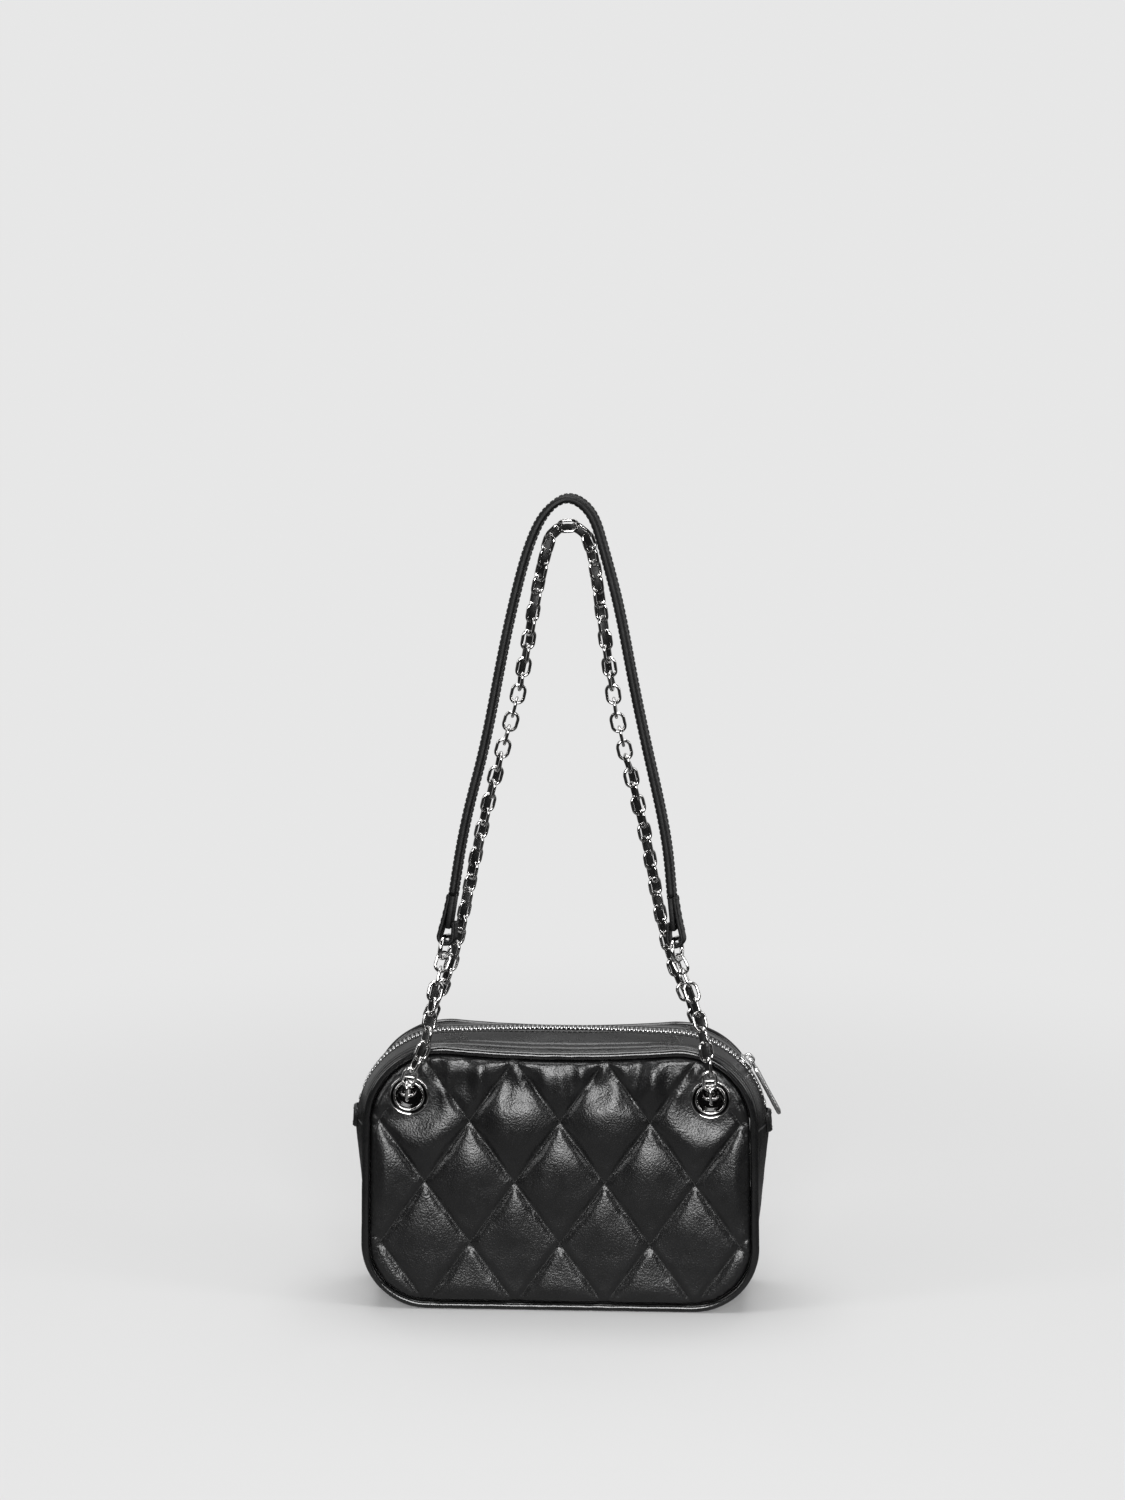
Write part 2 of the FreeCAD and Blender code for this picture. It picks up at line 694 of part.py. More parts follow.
below_zip = slab(-gusset_half_depth, gusset_half_depth, -overrun, zip_foot_height)
parts["base_gusset"] = leather_wall.common(below_zip)
parts["base_lining"] = inner_wall.common(below_zip)
parts["zip_stops"] = zip_stops()
parts["eyelet_washers"] = Part.Compound([washer(side, end) for side in (-1, 1) for end in (-1, 1)])
for side, hand in ((-1, "left"), (1, "right")):
    parts["zip_end_tab_" + hand] = tab_wall.common(side_slab(
        side, -zip_tab_half_width, zip_tab_half_width, zip_foot_height - zip_tab_below,
        zip_foot_height + zip_tab_above))

board_low = tape_inset + lining_thickness + board_lift
board_width = panel_base_width - 2 * board_end_margin
board_depth = bag_depth - 2 * board_side_margin
pocket_width = panel_base_width - 2 * pocket_side_margin
parts["base_board"] = Part.makeBox(board_width, board_depth, board_thickness,
                                   V(-board_width / 2, -board_depth / 2, board_low))
pocket_front = lining_back - fit - pocket_thickness
parts["slip_pocket"] = Part.makeBox(pocket_width, pocket_thickness, pocket_height,
                                    V(-pocket_width / 2, pocket_front, pocket_base_height))

parts["zip_slider"] = zip_slider()
parts["zip_slider_bail"] = bail()
parts["zip_pull"] = zip_pull()

first_reach = link_inner_length - link_play - wire_reach
ring_reach = link_inner_length / 2 - ring_wire / 2 - ring_slack
across_y = V(0, 1, 0)
strap_ends = []
for side, hand, ring_place, front_shares, rear_shares, bare_link, strap_point in (
        (-1, "left", left_ring_place, front_left_shares, rear_left_shares, left_bare_link, strap_route[0]),
        (1, "right", right_ring_place, front_right_shares, rear_right_shares, right_bare_link,
         strap_route[-1])):
    strap_along = strap_direction(ring_place, strap_point)
    ring_wire_place = V(*ring_place) - strap_along * ring_drop
    print("strap hinge on the", hand, tuple(round(value, 2) for value in ring_wire_place))
    front_pivot = (side * eyelet_x, -chain_pivot_y, chain_height)
    rear_pivot = (side * eyelet_x, chain_pivot_y, chain_height)

    inner_points = [(side * eyelet_x, -chain_pivot_y, chain_height), (side * eyelet_x, 0.0, chain_height),
                    (side * eyelet_x, chain_pivot_y, chain_height)]
    inner_frames = chain_run(inner_points, link_play, wire_reach, wire_reach, V(1, 0, 0), False, 0.0, 0.0)
    parts["inner_chain_" + hand] = chain(inner_frames)
    parts["inner_lace_" + hand] = lace(inner_frames[1:-1])

    front_points = [front_pivot] + route(front_shares, chain_height, front_climb) + [tuple(ring_wire_place)]
    front_frames = chain_run(front_points, link_play, first_reach, ring_reach, across_y, True, chain_roll,
                             -strap_yaw)
    parts["front_chain_" + hand] = chain(front_frames)
    parts["front_lace_" + hand] = lace(front_frames[1:-1])

    rear_points = [rear_pivot] + route(rear_shares, chain_height, rear_climb) + [bare_link]
    rear_frames = chain_run(rear_points, link_play, first_reach, wire_reach, across_y, True, chain_roll, 0.0)
    parts["rear_chain_" + hand] = chain(rear_frames)
    parts["rear_lace_" + hand] = lace(rear_frames[1:-2])

    parts["strap_ring_" + hand] = placed(stadium_ring(ring_length, ring_height, ring_wire),
                                         ring_frame(ring_place, strap_along))
    parts["strap_loop_" + hand] = strap_loop(ring_place, strap_along)
    strap_ends.append((V(*ring_place) + strap_along * (ring_drop + loop_length + fit), strap_along))

parts["shoulder_strap"] = shoulder_strap(strap_ends)

arch_points = [left_bare_link] + arch_route + [right_bare_link]
arch_frames = chain_run(arch_points, bend_play, first_reach, first_reach, across_y, False, arch_roll, 0.0)
parts["rear_chain_arch"] = chain(arch_frames)
parts["rear_lace_arch"] = lace(arch_frames[1:-1])

os.makedirs("parts", exist_ok=True)
for name, shape in parts.items():
    shape.exportStep("parts/" + name + ".step")
    print("%-20s solids %3d valid %s volume %.1f" % (name, len(shape.Solids), shape.isValid(), shape.Volume))
print("chain pivots at y", chain_pivot_y, "and bare links at", left_bare_link)
print("slider hinge at", tuple(round(value, 3) for value in corner_centre), "pull hinge at",
      tuple(round(value, 3) for value in pull_pivot))
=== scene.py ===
"""Quilted chain shoulder bag: looks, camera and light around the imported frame. Sizes are in millimetres."""

import math

import bmesh
import bpy
import numpy as np
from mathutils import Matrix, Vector, noise
from mathutils.geometry import delaunay_2d_cdt


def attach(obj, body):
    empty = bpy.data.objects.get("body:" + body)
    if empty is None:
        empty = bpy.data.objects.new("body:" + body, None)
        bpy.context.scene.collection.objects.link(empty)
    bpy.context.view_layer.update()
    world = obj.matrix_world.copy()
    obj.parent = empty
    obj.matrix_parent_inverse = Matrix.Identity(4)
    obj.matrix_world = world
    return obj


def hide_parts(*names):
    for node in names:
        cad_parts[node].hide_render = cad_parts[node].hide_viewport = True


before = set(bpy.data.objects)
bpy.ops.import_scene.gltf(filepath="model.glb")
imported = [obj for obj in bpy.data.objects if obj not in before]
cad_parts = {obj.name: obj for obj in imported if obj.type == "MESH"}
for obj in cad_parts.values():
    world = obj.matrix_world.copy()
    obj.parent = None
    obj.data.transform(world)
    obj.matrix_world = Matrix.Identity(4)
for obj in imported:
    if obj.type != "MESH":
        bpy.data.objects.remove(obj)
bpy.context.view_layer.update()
METRE = 0.001
FULL_TURN = 2 * math.pi
ENDS = ((-1, "front"), (1, "rear"))
HANDS = ((-1, "left"), (1, "right"))
ACROSS = np.array([0.0, 1.0, 0.0])

# Outline of the panels and of the gusset at mid depth
panel_base_width = 223.2
panel_top_width = 217.2
panel_height = 156.0
panel_top_rise = -9.4
panel_radii = [37.0, 37.0, 45.0, 700.0, 45.0]
middle_base_width = 213.0
middle_top_width = 243.0
middle_height = 152.5
middle_top_rise = 4.6
middle_radii = [31.0, 31.0, 55.0, 900.0, 55.0]
gusset_half_depth = 25.6
edge_inset = 1.2
crown_power = 1.3
outline_step = 1.6
least_straight_count = 2
least_bend_count = 4

# Depths and thicknesses
bag_half_depth = 28.0
panel_front = 30.5
panel_back = 25.5
panel_inset = 4.6
piping_radius = 2.2
leather_thickness = 1.8
lining_thickness = 0.6
lining_inset = 2.0
lining_front = 25.3
lining_sag = 0.1
lining_sag_size = 26.0
lining_sag_layer = 5.0
half_slot = 4.0
fit = 0.2

# Piping, and the seams, folds and ripples of the soft wall
piping_count = 460
piping_sides = 18
piping_wave_share = 0.05
piping_wave_size = 7.0
piping_wave_layer = 9.0
wall_step = 0.8
wall_slack = 0.01
wall_turn_count = 9
wall_inner_count = 12
leather_roll = 0.9
cloth_roll = 0.25
seam_depth = 0.42
seam_width = 0.6
seam_sink = 0.25
seam_foot = 4.0
bead_height = 0.45
bead_width = 1.5
bead_inset = 4.2
tape_bead_inset = 0.5
fold_drop = 1.5
fold_width = 0.9
fold_inset = 1.9
zip_seam_inset = 2.4
edge_seam_inset = 7.0
ripple_height = 0.3
ripple_reach = 6.0
ripple_size = 22.0
fine_ripple_share = 0.5
fine_ripple_size = 9.0
fine_ripple_layer = 60.0
band_count = 240
tape_count = 220
base_count = 300
base_cloth_count = 260
wall_line_count = 300

# Quilting
quilt_half_width = 25.0
quilt_half_height = 35.2
quilt_row_height = 39.2
quilt_step = 2.5
quilt_edge_count = 300
quilt_hole_count = 40
line_step_share = 0.8
line_clear_share = 0.55
edge_clear_share = 0.6
hole_clear_share = 0.5
hole_keep_share = 0.995
merge_distance = 1e-5
groove_depth = 1.6
groove_width = 1.2
groove_lift = 0.5
puff_height = 6.6
puff_power = 0.68
puff_low = 35.0
puff_high = 105.0
puff_least_share = 0.4
draw_depth = 26.0
draw_share = 0.4
calm_eyelet_reach = 18.0
calm_edge_reach = 9.0
held_reach = 0.2
swell_frames = 20
swell_quality = 6
swell_pressure = 6.0
swell_shrink_share = -0.02
swell_stiffness = 1.0
sim_share = 0.45
sim_rise_share = 0.8
sim_rounds = 8
puff_limit = 6.5
rim_width = 2.4
gather_drop = 10.0
gather_spread = 11.0
gather_height = 3.2
gather_size = 8.0
gather_stretch_share = 0.22
gather_edge_reach = 3.0
gather_eyelet_reach = 5.0
slack_height = 0.8
slack_size = 15.0
slack_stretch_share = 0.4
slack_shift = 40.0
slack_layer = 3.0
slack_reach = 5.0
stitch_pitch = 2.1
stitch_length = 1.6
stitch_radius = 0.34
seam_stitch_pitch = 2.9
seam_stitch_length = 2.1
stitch_round_share = 0.95
stitch_lift_share = 0.3
stitch_eyelet_gap = 1.0
stitch_edge_share = 2
least_stitch_count = 4

# Eyelets
eyelet_x = 83.3
eyelet_height = 124.2
eyelet_hole_radius = 8.5
eyelet_bore_radius = 7.25
eyelet_barrel_radius = 8.15
eyelet_outer_radius = 11.25
eyelet_tail = 7.0
eyelet_held_radius = 13.0
eyelet_steps = 72
eyelet_lip = [(0.0, 0.7), (0.12, 1.25), (0.5, 1.66), (0.95, 1.7), (1.35, 1.4), (1.55, 1.0), (1.95, 0.72)]
eyelet_rim = [(1.5, 0.7), (1.15, 0.95), (0.75, 1.2), (0.35, 1.12), (0.06, 0.7), (0.0, 0.3), (0.25, -0.1)]
eyelet_foot = [(0.3, -0.1), (0.0, -0.4), (0.0, -eyelet_tail)]
# Inner and outer insets of the near-black painted dark reflection band on the eyelet flange
reflection_band_inner_inset = 1.3
reflection_band_outer_inset = 1.1

# Zip
zip_foot_height = 104.0
zip_tooth_inset = 1.4
zip_tooth_pitch = 2.5
zip_end_gap = 14.0
zip_tape_low = 3.1
zip_tape_reach = 14.0
zip_line_count = 1200
tooth_reach = 3.3
tooth_half_size = 1.05
tooth_round = 0.16
tooth_shares = [(1.0, 0.40, 0.95), (0.93, 0.52, 1.25), (0.40, 0.52, 1.25), (0.22, 0.34, 0.85),
                (0.02, 0.36, 0.95), (-0.14, 0.40, 1.0), (-0.22, 0.24, 0.7)]
stop_half_sizes = (0.5, 2.7, 1.3)
stop_round = 0.42
stop_shift = 0.55
stop_steps = (4, 2)
slider_centre = np.array([61.046, 0.0, 99.749])
slider_angle = 42.0
slider_length = 9.0
slider_width = 8.4
slider_base_width = 6.0
slider_plate = 1.2
slider_top_low = 55.6
slider_base_low = 50.4
slider_round = 0.55
slider_crown_shares = (0.42, 0.40)
slider_crown_lift = 0.35
slider_base_round = 0.5
slider_post_half = 0.35
slider_post_round = 0.2
bail_length = 7.0
bail_height = 4.4
bail_wall = 1.1
bail_width = 2.0
bail_round = 0.4
bail_sink = 0.1
bail_power = 0.6
bail_count = 25
pull_pin_radius = 0.65
pull_inner = 1.4
pull_outer = 2.7
pull_arm_length = 5.2
pull_length = 36.0
pull_thickness = 2.4
pull_tilt = 28.0
pull_arm_half = 0.7
pull_arm_overlap = 0.8
pull_arm_round = 0.45
pull_round = 0.7
pull_pin_round_share = 0.98
pull_bar_shares = np.array([(0.0, 0.55), (0.02, 0.8), (0.05, 0.95), (0.12, 1.0), (0.5, 0.94), (0.85, 1.0),
                            (0.95, 0.97), (0.98, 0.85), (1.0, 0.6)])
tab_half_width = 8.0
tab_below = 7.0
tab_above = 6.0
tab_thickness = 1.6
tab_count = 25
tab_round_share = 0.75
tab_crown_power = 8
tab_seam_power = 0.5
tab_crown_share = 0.85
tab_rim_height = 0.55
tab_rim_share = 0.82
tab_rim_width_share = 0.1
tab_seam_share = 0.6
tab_seam_count = 41
tab_pitch_share = 0.7
tab_stitch_share = 0.6

# Chain, lace and strap
lace_width = 3.9
lace_thickness = 1.3
lace_swing = 0.8
lace_round = 0.5
lace_steps = 5
chain_pivot_y = 37.85
ring_place_height = 209.16
strap_top = 452.28
ring_drop = 6.0
strap_width = 13.0
strap_thickness = 3.9
strap_yaw = 6.0
strap_round = 1.5
strap_count = 260
strap_seam_inset = 2.2
loop_length = 23.0
loop_short_length = 8.5
loop_hole_radius = 2.9
loop_ply = 2.1
loop_round = 0.8
loop_power = 1.6
loop_seam_inset = 2.0
loop_long_count = 16
loop_bend_count = 22
loop_short_count = 10
loop_seam_span = slice(1, 13)
loop_cross_places = (11, -4)
loop_cross_count = 8
loop_cross_share = 0.8
tongue_gap = 1.6
tongue_half_thickness = 1.55
tongue_trim = 0.15
left_ring_shares = (-0.749, -0.832)
right_ring_shares = (0.771, -0.832)
strap_shares = [(-0.660, -0.644, 0.203), (-0.590, -0.548, 0.323), (-0.520, -0.468, 0.418),
                (-0.386, -0.288, 0.648), (-0.282, -0.159, 0.811), (-0.180, -0.071, 0.923),
                (-0.077, -0.021, 0.979), (0.043, -0.004, 1.0), (0.161, -0.021, 0.979), (0.255, -0.079, 0.911),
                (0.361, -0.184, 0.780), (0.461, -0.316, 0.615), (0.586, -0.468, 0.418),
                (0.658, -0.556, 0.310), (0.708, -0.635, 0.213)]

# Slip pocket
pocket_half_width = 60.0
pocket_base_height = 25.0
pocket_height = 70.0
pocket_front = 23.7
pocket_thickness = 0.8
pocket_rows = 26
pocket_columns = 40
pocket_corner_share = 0.04
pocket_corner_power = 4
pocket_edge_share = 1 / 12
pocket_thin_share = 0.35
hem_height = 0.35
hem_place_share = 0.94
hem_width_share = 0.05


# Meshes and objects
def unit(vector):
    return vector / np.linalg.norm(vector)


class Heap:
    """Points and faces of several closed shapes that make one object."""

    def __init__(self):
        self.points = []
        self.faces = []
        self.count = 0

    def add(self, points, faces):
        self.points.append(np.asarray(points, float))
        self.faces.extend([tuple(int(v) + self.count for v in face) for face in faces])
        self.count += len(points)

    def make(self, name, *rest):
        return make_object(name, np.vstack(self.points), self.faces, *rest)


def add_object(name, data):
    piece = bpy.data.objects.new(name, data)
    bpy.context.scene.collection.objects.link(piece)
    return piece


def make_object(name, points, faces, material, slot, replaced=(), body="bag_shell"):
    """Smooth object from points in millimetres, riding on a body and standing for the named nodes."""
    mesh = bpy.data.meshes.new(name)
    mesh.from_pydata((np.asarray(points, float) * METRE).tolist(), [], [tuple(map(int, f)) for f in faces])
    work = bmesh.new()
    work.from_mesh(mesh)
    bmesh.ops.recalc_face_normals(work, faces=work.faces)
    work.to_mesh(mesh)
    work.free()
    mesh.polygons.foreach_set("use_smooth", [True] * len(mesh.polygons))
    mesh.materials.append(material)
    piece = add_object(name, mesh)
    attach(piece, body)
    if replaced:
        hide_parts(*replaced)
    return piece


def refine(piece):
    modifier = piece.modifiers.new("refine", "SUBSURF")
    modifier.levels = modifier.render_levels = 1


def grid_faces(rows, columns, close_rows=False, close_columns=False):
    """Quads of a grid of rows and columns, wrapped round where asked."""
    faces = []
    for r in range(rows if close_rows else rows - 1):
        for c in range(columns if close_columns else columns - 1):
            r2, c2 = (r + 1) % rows, (c + 1) % columns
            faces.append((r * columns + c, r * columns + c2, r2 * columns + c2, r2 * columns + c))
    return faces


def tube_faces(rows, columns):
    """Quads of a tube of closed rows, with a face over each end."""
    last = (rows - 1) * columns
    ends = [tuple(range(columns)), tuple(last + c for c in reversed(range(columns)))]
    return grid_faces(rows, columns, close_columns=True) + ends


def slab_faces(rows, columns):
    """Faces of a closed slab between two grids of points and the wall round them."""
    size = rows * columns
    top = grid_faces(rows, columns)
    rim = [r * columns for r in range(rows)] + [(rows - 1) * columns + c for c in range(1, columns)]
    rim += [r * columns + columns - 1 for r in reversed(range(rows - 1))]
    rim += reversed(range(1, columns - 1))
    walls = [(a, b, b + size, a + size) for a, b in zip(rim, rim[1:] + rim[:1])]
    return top + [tuple(v + size for v in face[::-1]) for face in top] + walls


def rounded_box(heap, half, radius, origin, axes, around=16, rings=8):
    """Adds a box with rounded edges, from its half sizes along three axes."""
    turns = (np.arange(around) + 0.5) * 2 * math.pi / around
    leans = (np.arange(rings) + 0.5) * math.pi / rings
    ways = np.array([(math.sin(lean) * math.cos(turn), math.sin(lean) * math.sin(turn), math.cos(lean))
                     for lean in leans for turn in turns])
    points = np.sign(ways) * (np.asarray(half) - radius) + ways * radius
    heap.add(np.asarray(origin) + points @ np.asarray(axes), tube_faces(rings, around))


def rounded_section(half_wide, half_thick, radius, steps=4):
    """Closed outline of a rounded rectangle."""
    points = []
    for k, (sx, sy) in enumerate(((1, 1), (-1, 1), (-1, -1), (1, -1))):
        for turn in np.linspace(0.0, math.pi / 2, steps + 1) + k * math.pi / 2:
            points.append((sx * (half_wide - radius) + radius * math.cos(turn),
                           sy * (half_thick - radius) + radius * math.sin(turn)))
    return np.array(points)


def sweep(heap, path, wides, thicks, section, shares=1.0):
    """Adds a tube of one section along a path. Directions and shares of its size are one or one a place."""
    wides, thicks = (np.broadcast_to(ways, path.shape) for ways in (wides, thicks))
    points = []
    for place, wide, thick, share in zip(path, wides, thicks, np.broadcast_to(shares, len(path))):
        points.append(place + share * (section[:, :1] * wide + section[:, 1:] * thick))
    heap.add(np.vstack(points), tube_faces(len(path), len(section)))


def tangents(path):
    along = np.gradient(path, axis=0)
    return along / np.linalg.norm(along, axis=1)[:, None]


def even(points, count, closed=False):
    """The same line with evenly spread points."""
    line = np.vstack([points, points[:1]]) if closed else points
    steps = np.linalg.norm(np.diff(line, axis=0), axis=1)
    along = np.concatenate([[0.0], np.cumsum(steps)])
    wanted = np.linspace(0.0, along[-1], count + 1 if closed else count)
    line = np.stack([np.interp(wanted, along, line[:, k]) for k in range(line.shape[1])], axis=1)
    return line[:-1] if closed else line


def line_length(path):
    return np.linalg.norm(np.diff(path, axis=0), axis=1).sum()


def stitches(heap, path, outward, pitch=seam_stitch_pitch, length=seam_stitch_length):
    """Adds a row of thread stitches along a path on a surface, with one outward direction or one a place."""
    count = max(2, int(line_length(path) / pitch))
    joined = even(np.hstack([path, np.broadcast_to(outward, path.shape)]), count)
    places, normals = joined[:, :3], joined[:, 3:]
    for place, along, normal in zip(places, tangents(places), normals):
        side = unit(np.cross(along, normal))
        axes = (side, np.cross(along, side), along)
        rounded_box(heap, (stitch_radius, stitch_radius, length / 2), stitch_radius * stitch_round_share,
                    place + normal * stitch_radius * stitch_lift_share, axes, around=6, rings=4)


def spline(points, first, last, count, samples=20):
    """Smooth line through points, with set directions at its ends, as evenly spread points."""
    steps = np.linalg.norm(np.diff(points, axis=0), axis=1)
    size = len(points)
    system = np.zeros((size, size))
    right = np.zeros((size, 3))
    system[0, 0] = system[-1, -1] = 1.0
    right[0], right[-1] = first, last
    for i in range(1, size - 1):
        a, b = steps[i - 1], steps[i]
        system[i, i - 1:i + 2] = 1 / a, 2 / a + 2 / b, 1 / b
        right[i] = 3 * ((points[i] - points[i - 1]) / a ** 2 + (points[i + 1] - points[i]) / b ** 2)
    slopes = np.linalg.solve(system, right)
    line = []
    for i, step in enumerate(steps):
        for s in np.linspace(0.0, 1.0, samples, endpoint=i == size - 2):
            over = 3 * s ** 2 - 2 * s ** 3
            bend = (s ** 3 - 2 * s ** 2 + s) * slopes[i] + (s ** 3 - s ** 2) * slopes[i + 1]
            line.append((1 - over) * points[i] + over * points[i + 1] + step * bend)
    return even(np.array(line), count)


# Outlines made of straight edges and tangent arcs, as (x, z) points
def corner_points(base_width, top_width, height, rise):
    return np.array([(-base_width / 2, 0.0), (base_width / 2, 0.0), (top_width / 2, height),
                     (0.0, height + rise), (-top_width / 2, height)])


def rounding(corners, radii, inset):
    """Start, end, centre and radius of the arc at each corner of the outline moved inwards."""
    count = len(corners)
    moved = []
    for i in range(count):
        a = unit(corners[i] - corners[i - 1])
        b = unit(corners[(i + 1) % count] - corners[i])
        share = inset / (1 + a @ b)
        moved.append(corners[i] + share * np.array([-(a[1] + b[1]), a[0] + b[0]]))
    arcs = []
    for i in range(count):
        a = unit(moved[i - 1] - moved[i])
        b = unit(moved[(i + 1) % count] - moved[i])
        hollow = a[1] * b[0] - a[0] * b[1] < 0
        radius = radii[i] + inset if hollow else radii[i] - inset
        half = math.acos(a @ b) / 2
        reach = radius / math.tan(half)
        centre = moved[i] + unit(a + b) * radius / math.sin(half)
        arcs.append((moved[i] + a * reach, moved[i] + b * reach, centre, radius))
    return arcs


def sampled(corners, radii, inset, counts):
    """Points along the outline, with a set count on each straight edge and each arc."""
    arcs = rounding(corners, radii, inset)
    points = []
    for i, (start, end, centre, radius) in enumerate(arcs):
        before = arcs[i - 1][1]
        line_count, arc_count = counts[i]
        for k in range(line_count):
            points.append(before + (start - before) * k / line_count)
        first, last = start - centre, end - centre
        low = math.atan2(first[1], first[0])
        turn = math.atan2(first[0] * last[1] - first[1] * last[0], first @ last)
        for k in range(arc_count):
            angle = low + turn * k / arc_count
            points.append(centre + radius * np.array([math.cos(angle), math.sin(angle)]))
    return np.array(points)


panel_corners = corner_points(panel_base_width, panel_top_width, panel_height, panel_top_rise)
middle_corners = corner_points(middle_base_width, middle_top_width, middle_height, middle_top_rise)
outline_counts = []
middle_arcs = rounding(middle_corners, middle_radii, 0.0)
for i, (arc_start, arc_end, _, _) in enumerate(middle_arcs):
    straight = round(np.linalg.norm(arc_start - middle_arcs[i - 1][1]) / outline_step)
    bend = round(np.linalg.norm(arc_end - arc_start) / outline_step)
    outline_counts.append((max(least_straight_count, straight), max(least_bend_count, bend)))


def panel_outline(inset):
    return sampled(panel_corners, panel_radii, inset, outline_counts)


def middle_outline(inset):
    return sampled(middle_corners, middle_radii, inset, outline_counts)


def wall_ring(y, inset):
    """Outline of the soft wall at one depth: crowned in the middle, falling away towards the piping."""
    fall = min(abs(y) / gusset_half_depth, 1.0) ** crown_power
    return middle_outline(inset) * (1 - fall) + panel_outline(edge_inset + inset) * fall


def cut_ring(ring, height, upper, count):
    """The part of a closed outline above or below a height, from one side of the bag to the other."""
    inside = ring[:, 1] > height if upper else ring[:, 1] < height
    size = len(ring)
    first = next(i for i in range(size) if inside[i] and not inside[i - 1])
    chosen = []
    index = first
    while inside[index % size]:
        chosen.append(ring[index % size])
        index += 1

    def crossing(a, b):
        return a + (b - a) * (height - a[1]) / (b[1] - a[1])

    chosen.insert(0, crossing(ring[first - 1], ring[first]))
    chosen.append(crossing(ring[(index - 1) % size], ring[index % size]))
    return even(np.array(chosen), count)


def soft_noise(x, y, z, size):
    return noise.noise(Vector((x / size, y / size, z / size)))


def share_of(distance, reach):
    return np.clip(distance / reach, 0, 1)


def ring_normals(ring, closed=True):
    """Outward unit normals of an anticlockwise line of (x, z) points."""
    if closed:
        along = np.roll(ring, -1, axis=0) - np.roll(ring, 1, axis=0)
    else:
        along = np.gradient(ring, axis=0)
    along /= np.linalg.norm(along, axis=1)[:, None]
    return np.stack([along[:, 1], -along[:, 0]], axis=1)


def at_depth(line, y):
    """Points in space from (x, z) points at one depth."""
    return np.stack([line[:, 0], np.full(len(line), float(y)), line[:, 1]], axis=1)


# Materials: a texture has features per metre, detail, roughness and twist, a bump has strength and metres
cloud_texture = (45.0, 4.0, 0.6)
polish_texture = (160.0, 6.0, 0.7)
wrinkle_texture = (220.0, 3.0, 0.5, 0.6)
plating_texture = (300.0, 3.0)
wear_texture = (900.0, 5.0, 0.7)
pore_texture = (3.0, 0.6)
fuzz_detail = 4.0
pore_scale_share = 1.7
pore_strength_share = 0.8
fuzz_scale_share = 2.0
ramp_places = (0.3, 0.7)
wrinkle_bump = (0.22, 0.0004)
fuzz_bump = (0.2, 0.0001)
grain_height = 0.00018
pore_height = 0.00014
wear_height = 0.00003
thread_height = 0.0002
thread_twist = 0.4
cloth_sheen = 0.15
# Painted dark reflection on the eyelet flanges: the band's shape across the flange and its near-black colour
painted_reflection_band = ((0.0, 0.0), (0.1, 1.0), (0.9, 1.0), (1.0, 0.0))
painted_reflection_black = (0.03, 0.03, 0.03, 1.0)


def feed(tree, node, key, value):
    """Links another node's socket to an input, or sets the input to a value."""
    if isinstance(value, bpy.types.NodeSocket):
        tree.links.new(value, node.inputs[key])
    else:
        node.inputs[key].default_value = value


def add_node(tree, kind, inputs, **settings):
    node = tree.nodes.new(kind)
    for key, value in settings.items():
        setattr(node, key, value)
    for key, value in inputs.items():
        feed(tree, node, key, value)
    return node


def new_material(name):
    material = bpy.data.materials.new(name)
    material.use_nodes = True
    tree = material.node_tree
    place = add_node(tree, "ShaderNodeTexCoord", {}).outputs["Object"]
    return material, tree, tree.nodes["Principled BSDF"], place


def clouds(tree, place, scale, detail, rough=0.5, twist=0.0):
    inputs = {"Vector": place, "Scale": scale, "Detail": detail, "Roughness": rough, "Distortion": twist}
    return add_node(tree, "ShaderNodeTexNoise", inputs).outputs["Fac"]


def ramp(tree, source, *stops):
    """Colour or grey that follows a value, from two or more pairs of place and colour."""
    node = add_node(tree, "ShaderNodeValToRGB", {"Fac": source})
    elements = node.color_ramp.elements
    given = len(elements)
    for i, (place, colour) in enumerate(stops):
        element = elements[i] if i < given else elements.new(place)
        element.position = place
        element.color = (*colour, 1.0) if isinstance(colour, tuple) else (colour, colour, colour, 1.0)
    return node.outputs["Color"]


def vary(tree, shader, key, source, low, high):
    """Lets an input of the shader follow a texture between two ends."""
    feed(tree, shader, key, ramp(tree, source, *zip(ramp_places, (low, high))))


def bumps(tree, shader, layers):
    """Stacked bump nodes from a texture, a strength and a height in metres each."""
    last = None
    for source, strength, height in layers:
        inputs = {"Height": source, "Strength": strength, "Distance": height}
        if last:
            inputs["Normal"] = last
        last = add_node(tree, "ShaderNodeBump", inputs).outputs["Normal"]
    feed(tree, shader, "Normal", last)


def leather(name, dark, light, rough_low, rough_high, grain, grain_strength, shine):
    """Smooth black leather with fine grain, slow wrinkles and uneven polish."""
    material, tree, shader, place = new_material(name)
    vary(tree, shader, "Base Color", clouds(tree, place, *cloud_texture), dark, light)
    vary(tree, shader, "Roughness", clouds(tree, place, *polish_texture), rough_low, rough_high)
    cells = add_node(tree, "ShaderNodeTexVoronoi", {"Vector": place, "Scale": grain}, feature="SMOOTH_F1")
    pores = clouds(tree, place, grain * pore_scale_share, *pore_texture)
    bumps(tree, shader, [(clouds(tree, place, *wrinkle_texture), *wrinkle_bump),
                         (cells.outputs["Distance"], grain_strength, grain_height),
                         (pores, grain_strength * pore_strength_share, pore_height)])
    feed(tree, shader, "Specular IOR Level", shine)
    return material


def metal(name, colour_low, colour_high, rough_low, rough_high, scratch):
    """Plated metal with faint wear marks and uneven polish."""
    material, tree, shader, place = new_material(name)
    wear = clouds(tree, place, *wear_texture)
    vary(tree, shader, "Base Color", clouds(tree, place, *plating_texture), colour_low, colour_high)
    vary(tree, shader, "Roughness", wear, rough_low, rough_high)
    bumps(tree, shader, [(wear, scratch, wear_height)])
    feed(tree, shader, "Metallic", 1.0)
    return material


